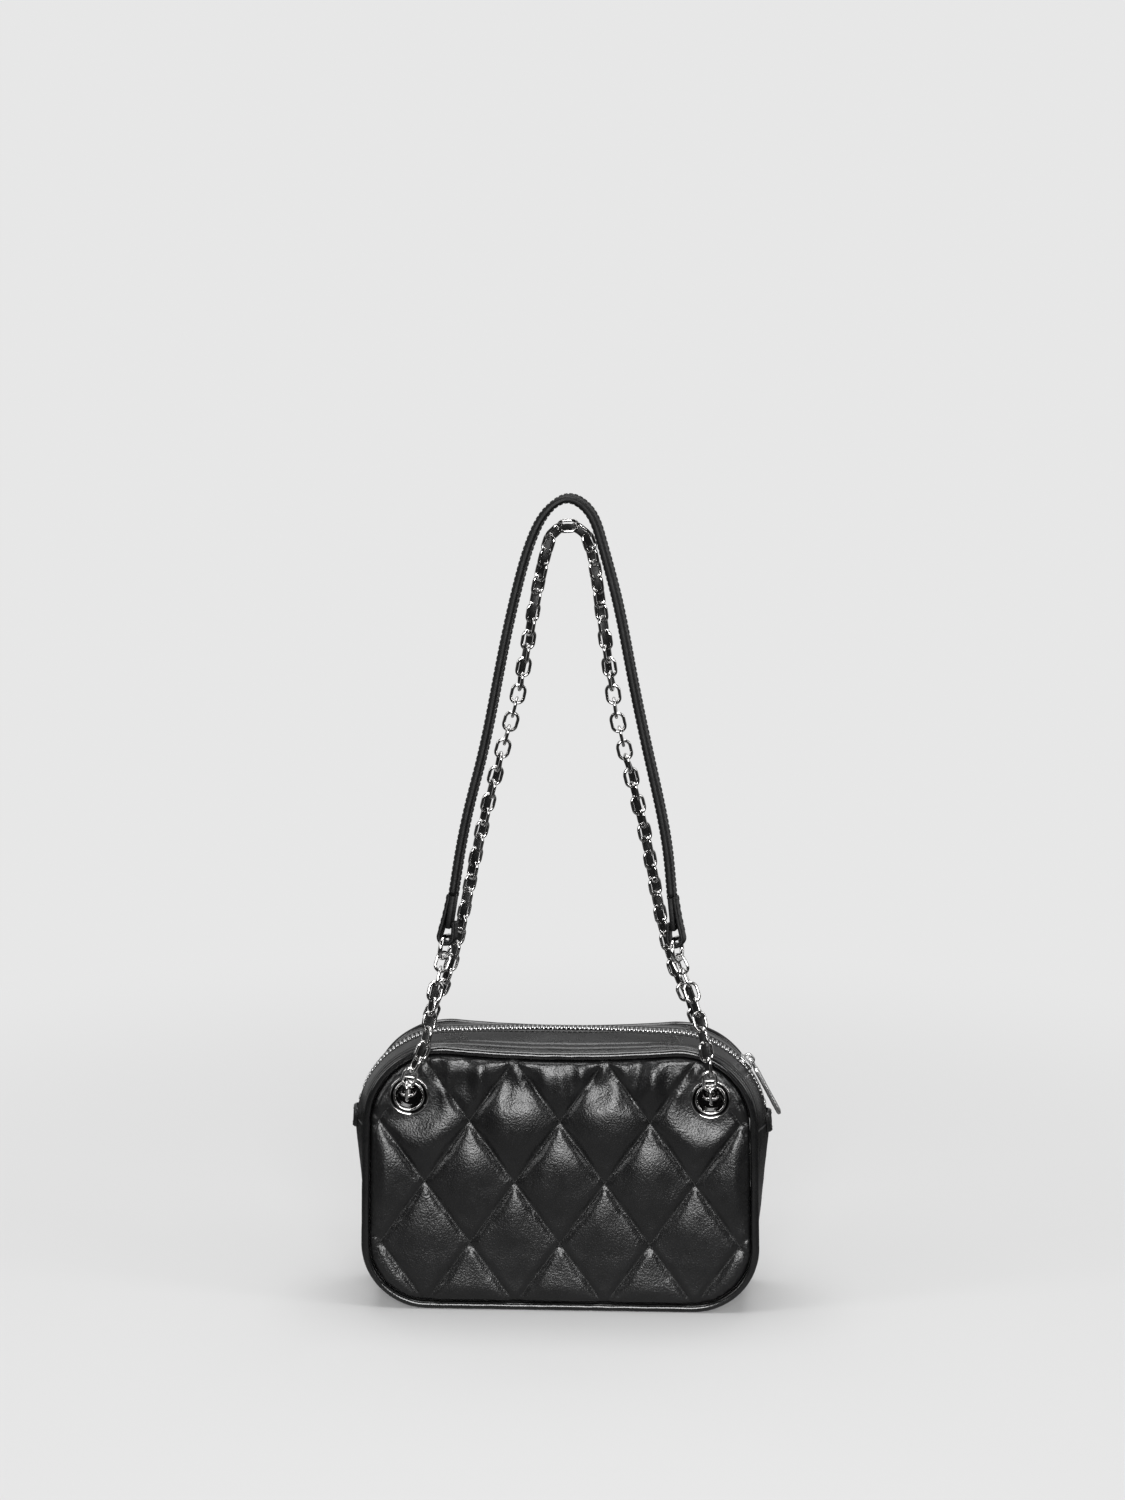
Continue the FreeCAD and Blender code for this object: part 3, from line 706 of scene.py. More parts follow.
def fabric(name, dark, light, threads, strength, rough):
    """Woven cloth: two crossing sets of threads with a little fuzz."""
    material, tree, shader, place = new_material(name)
    layers = []
    for direction in ("X", "Z"):
        inputs = {"Vector": place, "Scale": threads, "Distortion": thread_twist}
        wave = add_node(tree, "ShaderNodeTexWave", inputs, bands_direction=direction)
        layers.append((wave.outputs["Fac"], strength, thread_height))
    fuzz = clouds(tree, place, threads * fuzz_scale_share, fuzz_detail)
    vary(tree, shader, "Base Color", fuzz, dark, light)
    bumps(tree, shader, layers + [(fuzz, *fuzz_bump)])
    feed(tree, shader, "Roughness", rough)
    feed(tree, shader, "Sheen Weight", cloth_sheen)
    return material


def paint_dark_flange_reflection(material, inner, outer):
    """Painted dark reflection: near-black colour painted on the plating between two radii round the eyelets'
    bores, in place of the dark surroundings the flange would mirror.
    """
    tree = material.node_tree
    shader = tree.nodes["Principled BSDF"]
    plain = shader.inputs["Base Color"].links[0].from_socket
    place = add_node(tree, "ShaderNodeTexCoord", {}).outputs["Object"]
    split = add_node(tree, "ShaderNodeSeparateXYZ", {"Vector": place}).outputs
    away = add_node(tree, "ShaderNodeMath", {0: split["X"]}, operation="ABSOLUTE").outputs["Value"]
    flat = add_node(tree, "ShaderNodeCombineXYZ", {"X": away, "Z": split["Z"]}).outputs["Vector"]
    bore = (eyelet_x * METRE, 0.0, eyelet_height * METRE)
    far = add_node(tree, "ShaderNodeVectorMath", {0: flat, 1: bore}, operation="DISTANCE").outputs["Value"]
    inputs = {"Value": far, "From Min": inner * METRE, "From Max": outer * METRE}
    share = add_node(tree, "ShaderNodeMapRange", inputs).outputs["Result"]
    # Mixes the near-black painted reflection into the plating colour inside the band
    inputs = {0: ramp(tree, share, *painted_reflection_band), 6: plain, 7: painted_reflection_black}
    feed(tree, shader, "Base Color", add_node(tree, "ShaderNodeMix", inputs, data_type="RGBA").outputs[2])


quilted_leather = leather("quilted_leather", (0.003, 0.003, 0.0032), (0.006, 0.006, 0.0063),
                          rough_low=0.25, rough_high=0.37, grain=1000.0, grain_strength=0.78, shine=0.8)
smooth_leather = leather("smooth_leather", (0.006, 0.006, 0.0062), (0.011, 0.011, 0.0112),
                         rough_low=0.22, rough_high=0.36, grain=1400.0, grain_strength=0.28, shine=0.55)
piping_leather = leather("piping_leather", (0.004, 0.004, 0.0042), (0.008, 0.008, 0.0082),
                         rough_low=0.12, rough_high=0.24, grain=1500.0, grain_strength=0.15, shine=0.8)
strap_leather = leather("strap_leather", (0.003, 0.003, 0.0031), (0.006, 0.006, 0.0062),
                        rough_low=0.38, rough_high=0.52, grain=1300.0, grain_strength=0.34, shine=0.2)
lace_leather = leather("lace_leather", (0.004, 0.004, 0.004), (0.009, 0.009, 0.009),
                       rough_low=0.34, rough_high=0.48, grain=1600.0, grain_strength=0.34, shine=0.35)
thread = fabric("thread", 0.003, 0.008, threads=3000.0, strength=0.5, rough=0.6)
lining_fabric = fabric("lining_fabric", (0.012, 0.011, 0.011), (0.022, 0.021, 0.021),
                       threads=1400.0, strength=0.5, rough=0.75)
zip_tape_fabric = fabric("zip_tape_fabric", 0.005, 0.012, threads=1800.0, strength=0.6, rough=0.7)
stiffener = fabric("stiffener", (0.02, 0.02, 0.02), (0.035, 0.034, 0.033),
                   threads=700.0, strength=0.3, rough=0.8)
silver = ((0.72, 0.71, 0.70), (0.80, 0.795, 0.79))
polished_metal = metal("polished_metal", *silver, rough_low=0.06, rough_high=0.14, scratch=0.04)
# Eyelet metal: polished silver that gets a painted dark reflection on its flange
eyelet_metal_painted_reflection = metal("eyelet_metal_painted_reflection", *silver, rough_low=0.06, rough_high=0.14, scratch=0.04)
zip_metal = metal("zip_metal", 0.60, 0.72, rough_low=0.16, rough_high=0.28, scratch=0.10)
# Paints a near-black band on the eyelet flanges as a dark reflection
paint_dark_flange_reflection(eyelet_metal_painted_reflection, eyelet_bore_radius + reflection_band_inner_inset, eyelet_outer_radius - reflection_band_outer_inset)


# Quilted panels
def line_distance(points):
    """Distance of (x, z) points from the nearest stitched line, and their places inside the diamond."""
    slope = quilt_half_width / quilt_half_height
    cosine = quilt_half_height / math.hypot(quilt_half_width, quilt_half_height)
    width = 2 * quilt_half_width
    rows = (points[:, 1] - quilt_row_height) * slope
    places = [((points[:, 0] + way * rows) / width) % 1.0 for way in (-1, 1)]
    distances = [np.minimum(p, 1 - p) * width * cosine for p in places]
    return np.minimum(*distances), places


def outline_distance(points, ring):
    """Distance of (x, z) points from a closed line."""
    best = np.full(len(points), np.inf)
    for a, b in zip(ring, np.roll(ring, -1, axis=0)):
        edge = b - a
        share = np.clip(((points - a) @ edge) / (edge @ edge), 0.0, 1.0)
        best = np.minimum(best, np.linalg.norm(points - a - share[:, None] * edge, axis=1))
    return best


def inside_outline(points, ring):
    inside = np.zeros(len(points), bool)
    for a, b in zip(ring, np.roll(ring, -1, axis=0)):
        crosses = (a[1] > points[:, 1]) != (b[1] > points[:, 1])
        if a[1] != b[1]:
            where = a[0] + (points[:, 1] - a[1]) * (b[0] - a[0]) / (b[1] - a[1])
            inside ^= crosses & (points[:, 0] < where)
    return inside


def eyelet_distance(points):
    """Distance of (x, z) points from the middle of the nearer eyelet."""
    return np.hypot(np.abs(points[:, 0]) - eyelet_x, points[:, 1] - eyelet_height)


def stitch_lines():
    """Stitched lines as pairs of end points that reach past the panel."""
    slope = quilt_half_width / quilt_half_height
    reach = math.ceil((panel_base_width / 2 + slope * panel_height) / (2 * quilt_half_width))
    lines = []
    for i in range(-reach, reach + 1):
        foot = 2 * i * quilt_half_width
        for way in (-1, 1):
            low = np.array([foot - way * slope * quilt_row_height, 0.0])
            high = np.array([foot + way * slope * (panel_height - quilt_row_height), panel_height])
            lines.append((low, high))
    return lines


def spread(low, high, step):
    """Points along a straight line, about a step apart."""
    count = int(np.linalg.norm(high - low) / step)
    return low + (high - low) * np.linspace(0.0, 1.0, count)[:, None]


def panel_sheet():
    """Triangles of a panel's front, with points along every stitched line, as (x, z) points."""
    ring = even(panel_outline(panel_inset), quilt_edge_count, closed=True)
    turn = np.linspace(0.0, FULL_TURN, quilt_hole_count, endpoint=False)
    fixed = [ring]
    for side, _ in HANDS:
        fixed.append(np.stack([side * eyelet_x + eyelet_hole_radius * np.cos(turn),
                               eyelet_height + eyelet_hole_radius * np.sin(turn)], axis=1))
    edges = []
    for closed_line in fixed:
        start, count = len(edges), len(closed_line)
        edges += [(start + i, start + (i + 1) % count) for i in range(count)]
    rows = [spread(low, high, quilt_step * line_step_share) for low, high in stitch_lines()]
    lines = np.vstack(rows)
    rows = []
    height = quilt_step * math.sqrt(3) / 2
    for r in range(int(panel_height / height) + 1):
        xs = np.arange(-panel_base_width / 2, panel_base_width / 2, quilt_step) + (r % 2) * quilt_step / 2
        rows.append(np.stack([xs, np.full(len(xs), r * height)], axis=1))
    loose = np.vstack(rows)
    loose = loose[line_distance(loose)[0] > quilt_step * line_clear_share]
    loose = np.vstack([lines, loose])
    loose = loose[inside_outline(loose, ring)]
    loose = loose[outline_distance(loose, ring) > quilt_step * edge_clear_share]
    loose = loose[eyelet_distance(loose) > eyelet_hole_radius + quilt_step * hole_clear_share]
    points = np.vstack(fixed + [loose])
    flat, _, faces, _, _, _ = delaunay_2d_cdt([Vector(p) for p in points], edges, [], 0, merge_distance)
    flat = np.array([tuple(p) for p in flat])
    faces = np.array([f for f in faces if len(f) == 3])
    centres = flat[faces].mean(axis=1)
    keep = inside_outline(centres, ring) & (eyelet_distance(centres) > eyelet_hole_radius * hole_keep_share)
    faces = faces[keep]
    a, b, c = flat[faces[:, 0]], flat[faces[:, 1]], flat[faces[:, 2]]
    clockwise = (b - a)[:, 0] * (c - a)[:, 1] - (b - a)[:, 1] * (c - a)[:, 0] < 0
    faces[clockwise] = faces[clockwise][:, ::-1]
    return flat, faces, ring


def seam_relief(flat, ring):
    """Height of the sewn-down surface over the seam: a rounded rim and the grooves of the stitched lines."""
    near_line = line_distance(flat)[0]
    near_edge = outline_distance(flat, ring)
    clear = share_of(eyelet_distance(flat) - eyelet_held_radius, rim_width)
    rim = np.sqrt(np.clip(1 - (1 - share_of(near_edge, rim_width)) ** 2, 0, 1))
    groove = clear * groove_depth * np.exp(-(near_line / groove_width) ** 2)
    return rim * (panel_front - bag_half_depth - groove)


def swell(points, faces, held):
    """Lets a cloth sheet swell under pressure between held points, and returns where it ends up."""
    mesh = bpy.data.meshes.new("swell")
    mesh.from_pydata((points * METRE).tolist(), [], faces.tolist())
    sheet = add_object("swell", mesh)
    scene = bpy.context.scene
    group = sheet.vertex_groups.new(name="held")
    group.add([int(i) for i in np.flatnonzero(held)], 1.0, "REPLACE")
    cloth = sheet.modifiers.new("cloth", "CLOTH")
    settings = cloth.settings
    settings.quality = swell_quality
    settings.vertex_group_mass = "held"
    settings.use_pressure = True
    settings.uniform_pressure_force = swell_pressure
    settings.shrink_min = swell_shrink_share
    settings.bending_stiffness = swell_stiffness
    settings.effector_weights.gravity = 0.0
    cloth.point_cache.frame_start = 1
    cloth.point_cache.frame_end = swell_frames
    for step in range(1, swell_frames + 1):
        scene.frame_set(step)
    done = sheet.evaluated_get(bpy.context.evaluated_depsgraph_get()).to_mesh()
    result = np.empty(len(done.vertices) * 3)
    done.vertices.foreach_get("co", result)
    bpy.data.objects.remove(sheet)
    bpy.data.meshes.remove(mesh)
    scene.frame_set(1)
    return result.reshape(-1, 3) / METRE


def evened(moves, faces, held, rounds):
    """Moves with small creases smoothed out, each free point drawn towards the mean of its neighbours."""
    pairs = np.vstack([faces[:, [0, 1]], faces[:, [1, 2]], faces[:, [2, 0]]])
    pairs = np.vstack([pairs, pairs[:, ::-1]])
    counts = np.bincount(pairs[:, 0], minlength=len(moves))[:, None]
    for _ in range(rounds):
        sums = np.zeros_like(moves)
        np.add.at(sums, pairs[:, 0], moves[pairs[:, 1]])
        moves = np.where(held[:, None], moves, (moves + sums / np.maximum(counts, 1)) / 2)
    return moves


def puffed(flat, faces, ring):
    """How far each point of the front sheet moves from the sewn-down surface, as x, outwards and z."""
    near_line, places = line_distance(flat)
    near_edge = outline_distance(flat, ring)
    past_eyelet = eyelet_distance(flat) - eyelet_held_radius
    below = panel_height + panel_top_rise - panel_inset - flat[:, 1]
    base = seam_relief(flat, ring)
    calm = share_of(past_eyelet, calm_eyelet_reach) * share_of(near_edge, calm_edge_reach)
    calm = calm ** 2 * (3 - 2 * calm)
    full = puff_least_share + (1 - puff_least_share) * share_of(flat[:, 1] - puff_low, puff_high - puff_low)
    full *= draw_share + (1 - draw_share) * share_of(below, draw_depth)
    dome = (np.sin(math.pi * places[0]) * np.sin(math.pi * places[1])) ** puff_power
    height = calm * puff_height * full * dome
    moves = np.stack([np.zeros(len(flat)), height, np.zeros(len(flat))], axis=1)
    start = np.stack([flat[:, 0], -base - (1 - sim_share) * height, flat[:, 1]], axis=1)
    held = (near_line < held_reach) | (near_edge < held_reach) | (past_eyelet < 0)
    swollen = (swell(start, faces, held) - start) * np.array([1.0, -1.0, 1.0])
    size = np.linalg.norm(swollen, axis=1)
    swollen *= (np.minimum(size, puff_limit) / np.maximum(size, np.finfo(float).eps))[:, None]
    swollen = evened(swollen, faces, held, sim_rounds) * full[:, None]
    moves[:, 1] *= 1 - sim_share
    moves += swollen * np.array([1.0, sim_rise_share, 1.0])
    top = np.exp(-((below - gather_drop) / gather_spread) ** 2)
    waves = np.array([soft_noise(x, 0.0, z * gather_stretch_share, gather_size) for x, z in flat])
    slack = np.array([soft_noise(x + slack_shift, slack_layer, z * slack_stretch_share, slack_size)
                      for x, z in flat])
    free = share_of(near_edge, gather_edge_reach) * share_of(past_eyelet, gather_eyelet_reach)
    slack *= slack_height * share_of(near_line, slack_reach)
    moves[:, 1] += free * (gather_height * top * waves + slack)
    return base, moves


def closed_sheet(flat, faces, front, back):
    """Closed solid between two sheets of the same triangles."""
    count = len(flat)
    seen = set()
    for face in faces:
        for a, b in zip(face, np.roll(face, -1)):
            seen.add((a, b))
    walls = [(a, b, b + count, a + count) for a, b in seen if (b, a) not in seen]
    both = [tuple(face) for face in faces] + [tuple(face[::-1] + count) for face in faces]
    return np.vstack([front, back]), both + walls


sheet_points, sheet_faces, sheet_ring = panel_sheet()
sheet_base, sheet_moves = puffed(sheet_points, sheet_faces, sheet_ring)
for end, place in ENDS:
    front_side = np.stack([sheet_points[:, 0] + sheet_moves[:, 0],
                           end * (bag_half_depth + sheet_base + sheet_moves[:, 1]),
                           sheet_points[:, 1] + sheet_moves[:, 2]], axis=1)
    back_side = at_depth(sheet_points, end * (panel_back + fit))
    pad = make_object(place + "_quilt", *closed_sheet(sheet_points, sheet_faces, front_side, back_side),
                      quilted_leather, "quilted_leather", [place + "_panel"])
    refine(pad)
    quilt_thread = Heap()
    for low, high in stitch_lines():
        row = spread(low, high, stitch_pitch)
        keep = eyelet_distance(row) > eyelet_held_radius + stitch_eyelet_gap
        keep &= outline_distance(row, sheet_ring) > stitch_edge_share * rim_width
        keep &= inside_outline(row, sheet_ring)
        kept = row[keep]
        if len(kept) > least_stitch_count:
            depth = bag_half_depth + seam_relief(kept, sheet_ring) + groove_lift
            line = np.stack([kept[:, 0], end * depth, kept[:, 1]], axis=1)
            stitches(quilt_thread, line, end * ACROSS, stitch_pitch, stitch_length)
    quilt_thread.make(place + "_quilt_stitches", thread, "quilted_leather")


# Piping round both panels
piping_ring = even(panel_outline(piping_radius), piping_count, closed=True)
for end, place in ENDS:
    points = []
    for (x, z), (nx, nz) in zip(piping_ring, ring_normals(piping_ring)):
        for k in range(piping_sides):
            turn = FULL_TURN * k / piping_sides
            shifted = x + piping_wave_size * math.cos(turn)
            wave = soft_noise(shifted, z, end * piping_wave_layer, piping_wave_size)
            radius = piping_radius * (1 + piping_wave_share * wave)
            out, deep = radius * math.cos(turn), radius * math.sin(turn)
            points.append((x + nx * out, end * bag_half_depth + deep, z + nz * out))
    make_object(place + "_piping_roll", points, grid_faces(piping_count, piping_sides, True, True),
                piping_leather, "smooth_leather", [place + "_piping"])


# Soft wall: strips with rolled edges, made of rows that run along the outline
def strip(name, profile, upper, height, count, material, slot, replaced):
    """Closed strip of leather or cloth. Its profile is a closed list of depth, inset and share of ripple."""
    points = []
    for y, inset, free in profile:
        row = cut_ring(wall_ring(y, inset), height, upper, count)
        normals = ring_normals(row, closed=False)
        for (x, z), (nx, nz) in zip(row, normals):
            fine = soft_noise(x, y + fine_ripple_layer, z, fine_ripple_size)
            push = free * ripple_height * (soft_noise(x, y, z, ripple_size) + fine_ripple_share * fine)
            points.append((x + nx * push, y, z + nz * push))
    rows = len(profile)
    faces = grid_faces(rows, count, close_rows=True)
    faces.append(tuple(r * count for r in range(rows)))
    faces.append(tuple(r * count + count - 1 for r in reversed(range(rows))))
    return make_object(name, points, faces, material, slot, replaced)


def strip_profile(y_from, y_to, thickness, inset, grooves, beads, roll):
    """Outer face from one edge to the other, rounded edges, and the inner face back again."""
    middle = thickness / 2
    outer = []
    for y in np.arange(y_from + roll, y_to - roll + wall_slack, wall_step):
        dip = sum(seam_depth * math.exp(-((y - groove) / seam_width) ** 2) for groove in grooves)
        dip -= sum(bead_height * math.exp(-((y - bead) / bead_width) ** 2) for bead in beads)
        dip += fold_drop * math.exp(-((gusset_half_depth - fold_inset - abs(y)) / fold_width) ** 2)
        free = min(1.0, (y - y_from) / ripple_reach, (y_to - y) / ripple_reach)
        outer.append((y, inset + dip, max(0.0, free)))
    turns = np.linspace(0.0, math.pi, wall_turn_count)[1:-1]
    far = [(y_to - roll + roll * math.sin(t), inset + middle - middle * math.cos(t), 0.0) for t in turns]
    inner = [(y, inset + thickness, 0.0) for y in np.linspace(y_to - roll, y_from + roll, wall_inner_count)]
    near = [(y_from + roll - roll * math.sin(t), inset + middle + middle * math.cos(t), 0.0) for t in turns]
    return outer + far + inner + near


def turned(profile, end, ripple_share):
    """The profile on the front or the rear half, with less of its ripple."""
    return [(end * y, inset, ripple_share * free) for y, inset, free in profile]


def wall_line(y, height, upper, count, inset=0.0):
    """Line along the soft wall at one depth, with its outward directions."""
    row = cut_ring(wall_ring(y, inset), height, upper, count)
    normals = ring_normals(row, closed=False)
    return at_depth(row, y), at_depth(normals, 0.0)


zip_seam = half_slot + zip_seam_inset
edge_seam = gusset_half_depth - edge_seam_inset
band_shape = strip_profile(half_slot, gusset_half_depth, leather_thickness, 0.0, (zip_seam, edge_seam),
                           (gusset_half_depth - bead_inset,), leather_roll)
tape_shape = strip_profile(zip_tape_low, zip_tape_reach, lining_thickness, lining_inset, (),
                           (zip_tape_low + tape_bead_inset,), cloth_roll)
band_thread = Heap()
for end, place in ENDS:
    strip("zip_band_" + place, turned(band_shape, end, 1), True, zip_foot_height + fit, band_count,
          smooth_leather, "smooth_leather", ["zip_gusset_" + place])
    line, outward = wall_line(end * zip_seam, zip_foot_height + seam_foot, True, wall_line_count, seam_sink)
    stitches(band_thread, line, outward)
    tape = strip("zip_tape_weave_" + place, turned(tape_shape, end, 0), True, zip_foot_height + fit,
                 tape_count, zip_tape_fabric, "zip_tape", ["zip_tape_" + place])
band_thread.make("zip_band_stitches", thread, "smooth_leather")
base_shape = strip_profile(-gusset_half_depth, gusset_half_depth, leather_thickness, 0.0,
                           (-edge_seam, edge_seam), (), leather_roll)
strip("base_band", base_shape, False, zip_foot_height, base_count, smooth_leather, "smooth_leather",
      ["base_gusset"])
cloth_shape = strip_profile(-gusset_half_depth, gusset_half_depth, lining_thickness, lining_inset, (), (),
                            cloth_roll)
base_cloth = strip("base_lining_cloth", turned(cloth_shape, 1, 0), False, zip_foot_height, base_cloth_count,
                   lining_fabric, "lining_fabric", ["base_lining"])
base_line = wall_line(0.0, zip_foot_height, False, wall_line_count)[0]


# Lining of the panels and the slip pocket
for end, place in ENDS:
    waves = np.array([soft_noise(x, lining_sag_layer, z, lining_sag_size) for x, z in sheet_points])
    outer_side = at_depth(sheet_points, end * (lining_front - lining_sag))
    outer_side[:, 1] += end * lining_sag * waves
    inner_side = outer_side - end * lining_thickness * ACROSS
    shell = closed_sheet(sheet_points, sheet_faces, outer_side, inner_side)
    lining = make_object(place + "_lining_cloth", *shell,
                         lining_fabric, "lining_fabric", [place + "_lining"])


def pocket():
    """Flat pocket with rounded lower corners and a rolled hem along its open top edge."""
    points = []
    for side in (1, 0):
        for v in np.linspace(-1.0, 1.0, pocket_rows):
            for u in np.linspace(-1.0, 1.0, pocket_columns):
                pull = 1 - pocket_corner_share * (max(0.0, -v) * abs(u)) ** pocket_corner_power
                x = pocket_half_width * u * pull
                z = pocket_base_height + pocket_height * (v * pull + 1) / 2
                hem = hem_height * math.exp(-((v - hem_place_share) / hem_width_share) ** 2)
                edge = min(1.0, (1 - abs(u)) / pocket_edge_share, (1 - abs(v)) / pocket_edge_share)
                thick = pocket_thickness * (pocket_thin_share + (1 - pocket_thin_share) * edge) + hem
                points.append((x, pocket_front + pocket_thickness - side * thick, z))
    cloth = make_object("slip_pocket_cloth", points, slab_faces(pocket_rows, pocket_columns), lining_fabric,
                        "lining_fabric", ["slip_pocket"])


pocket()


# Eyelets: a rolled inner lip, a hollow flange and a beaded outer rim, turned about the bore
eyelet_profile = [(eyelet_bore_radius, -eyelet_tail)]
eyelet_profile += [(eyelet_bore_radius + out, lift) for out, lift in eyelet_lip]
eyelet_profile += [(eyelet_outer_radius - inset, lift) for inset, lift in eyelet_rim]
eyelet_profile += [(eyelet_barrel_radius + out, lift) for out, lift in eyelet_foot]
for end, place in ENDS:
    for side, hand in HANDS:
        points = []
        for turn in np.linspace(0.0, FULL_TURN, eyelet_steps, endpoint=False):
            for radius, lift in eyelet_profile:
                points.append((side * eyelet_x + radius * math.cos(turn), end * (panel_front + lift),
                               eyelet_height + radius * math.sin(turn)))
        name = "eyelet_%s_%s" % (place, hand)
        # The eyelet rings carry the near-black painted dark reflection on their flanges
        make_object(name + "_ring", points, grid_faces(eyelet_steps, len(eyelet_profile), True, True),
                    eyelet_metal_painted_reflection, "polished_metal", [name])


# Zip teeth, stops and end tabs
zip_line = cut_ring(middle_outline(zip_tooth_inset), zip_foot_height, True, zip_line_count)
zip_count = int(line_length(zip_line) / zip_tooth_pitch) + 1
zip_places = at_depth(even(zip_line, 2 * zip_count - 1), 0.0)
zip_along = tangents(zip_places)
zip_skip = math.ceil(zip_end_gap / zip_tooth_pitch)


def tooth(heap, index, end):
    """One tooth: a clamp on the tape, a narrow neck and a wider head past the middle."""
    place, along = zip_places[index], zip_along[index]
    up = np.array([-along[2], 0.0, along[0]])
    if up[2] < 0:
        up = -up
    points = []
    for reach, length, height in tooth_shares:
        section = rounded_section(length * tooth_half_size, height * tooth_half_size, tooth_round, 2)
        centre = place + end * reach * tooth_reach * ACROSS
        points.append(centre + section[:, :1] * along + section[:, 1:] * up)
    heap.add(np.vstack(points), tube_faces(len(tooth_shares), len(points[0])))


for end, place in ENDS:
    row = Heap()
    for i in range(zip_skip, zip_count - zip_skip - 1):
        tooth(row, 2 * i + (end > 0), end)
    row.make("zip_tooth_row_" + place, zip_metal, "zip_metal", ["zip_teeth_" + place])
stops = Heap()
for index in (2 * zip_skip - stop_steps[0], 2 * (zip_count - zip_skip) + stop_steps[1]):
    along = zip_along[index]
    for shift in (-stop_shift, stop_shift):
        rounded_box(stops, stop_half_sizes, stop_round, zip_places[index] + along * shift,
                    (along, ACROSS, np.cross(along, ACROSS)))
stops.make("zip_stop_staples", zip_metal, "zip_metal", ["zip_stops"])


def bowed(turn, power):
    """Cosine and sine raised to a power with their signs kept: a circle drawn out to a rounded square."""
    return [math.copysign(abs(part) ** power, part) for part in (math.cos(turn), math.sin(turn))]


def end_tab(side, hand):
    """Padded leather tab over the end of the zip, with a raised rim and a row of stitches."""
    middle = zip_foot_height + (tab_above - tab_below) / 2
    half = (tab_above + tab_below) / 2

    def place_at(u, v, lift):
        y = tab_half_width * u * math.sqrt(1 - tab_round_share * v * v / 2)
        z = middle + half * v * math.sqrt(1 - tab_round_share * u * u / 2)
        line = wall_ring(y, 0.0)
        line = line[line[:, 0] * side > 0]
        line = line[np.argsort(line[:, 1])]
        x, x_above = np.interp([z, z + 1], line[:, 1], line[:, 0])
        normal = unit(np.array([side, 0.0, side * (x - x_above)]))
        return np.array([x, y, z]) + normal * lift, normal

    points = []
    for face in (1, 0):
        for v in np.linspace(-1.0, 1.0, tab_count):
            for u in np.linspace(-1.0, 1.0, tab_count):
                far = max(abs(u), abs(v))
                crown = tab_thickness * math.sqrt(max(0.0, 1 - far ** tab_crown_power))
                rim = tab_rim_height * math.exp(-((far - tab_rim_share) / tab_rim_width_share) ** 2)
                points.append(place_at(u, v, fit + face * (crown * tab_crown_share + rim))[0])
    make_object("zip_end_pad_" + hand, points, slab_faces(tab_count, tab_count), smooth_leather,
                "smooth_leather", ["zip_end_tab_" + hand])
    seam = []
    for turn in np.linspace(0.0, FULL_TURN, tab_seam_count):
        u, v = bowed(turn, tab_seam_power)
        seam.append(place_at(tab_seam_share * u, tab_seam_share * v, fit + tab_thickness * tab_crown_share))
    line, outward = np.array(seam).transpose(1, 0, 2)
    sewn = Heap()
    stitches(sewn, line, outward, seam_stitch_pitch * tab_pitch_share, seam_stitch_length * tab_stitch_share)
    sewn.make("zip_end_stitches_" + hand, thread, "smooth_leather")


for side, hand in HANDS:
    end_tab(side, hand)


# Zip slider, its bail and its pull
slider_turn = math.radians(slider_angle)
slider_out = np.array([math.cos(slider_turn), 0.0, math.sin(slider_turn)])
slider_down = np.array([slider_out[2], 0.0, -slider_out[0]])
slider_axes = (slider_down, ACROSS, slider_out)


def slider_point(down, out):
    return slider_centre + slider_down * down + slider_out * out


def slider_plates(heap):
    """The two plates of the slider, the crown on the upper one and the post between them."""
    top = slider_top_low + slider_plate / 2
    base = slider_base_low + slider_plate / 2
    crown_length = slider_length * slider_crown_shares[0]
    crown_width = slider_width * slider_crown_shares[1]
    plates = ((slider_length / 2, slider_width / 2, slider_round, top),
              (crown_length, crown_width, slider_round, top + slider_crown_lift),
              (slider_length / 2, slider_base_width / 2, slider_base_round, base))
    for half_length, half_width, radius, out in plates:
        half = (half_length, half_width, slider_plate / 2)
        rounded_box(heap, half, radius, slider_point(0.0, out), slider_axes, around=24, rings=10)
    post = (slider_length / 4, slider_post_half, (slider_top_low - slider_base_low) / 2)
    rounded_box(heap, post, slider_post_round, slider_point(0.0, (top + base) / 2), slider_axes)


slider = Heap()
slider_plates(slider)
slider.make("zip_slider_body", zip_metal, "zip_metal", ["zip_slider"], "zip_slider")
bail_low = slider_top_low + slider_plate
bail_reach = (bail_length - bail_wall) / 2
bail_rise = bail_height - bail_wall / 2
bail_path = []
for turn in np.linspace(0.0, math.pi, bail_count):
    down, out = bowed(turn, bail_power)
    bail_path.append(slider_point(-bail_reach * down, bail_low - bail_sink + bail_rise * max(0.0, out)))
bail_path = np.array(bail_path)
bail = Heap()
sweep(bail, bail_path, ACROSS, np.cross(tangents(bail_path), ACROSS),
      rounded_section(bail_width / 2, bail_wall / 2, bail_round))
bail.make("zip_slider_bail_arch", zip_metal, "zip_metal", ["zip_slider_bail"], "zip_slider")

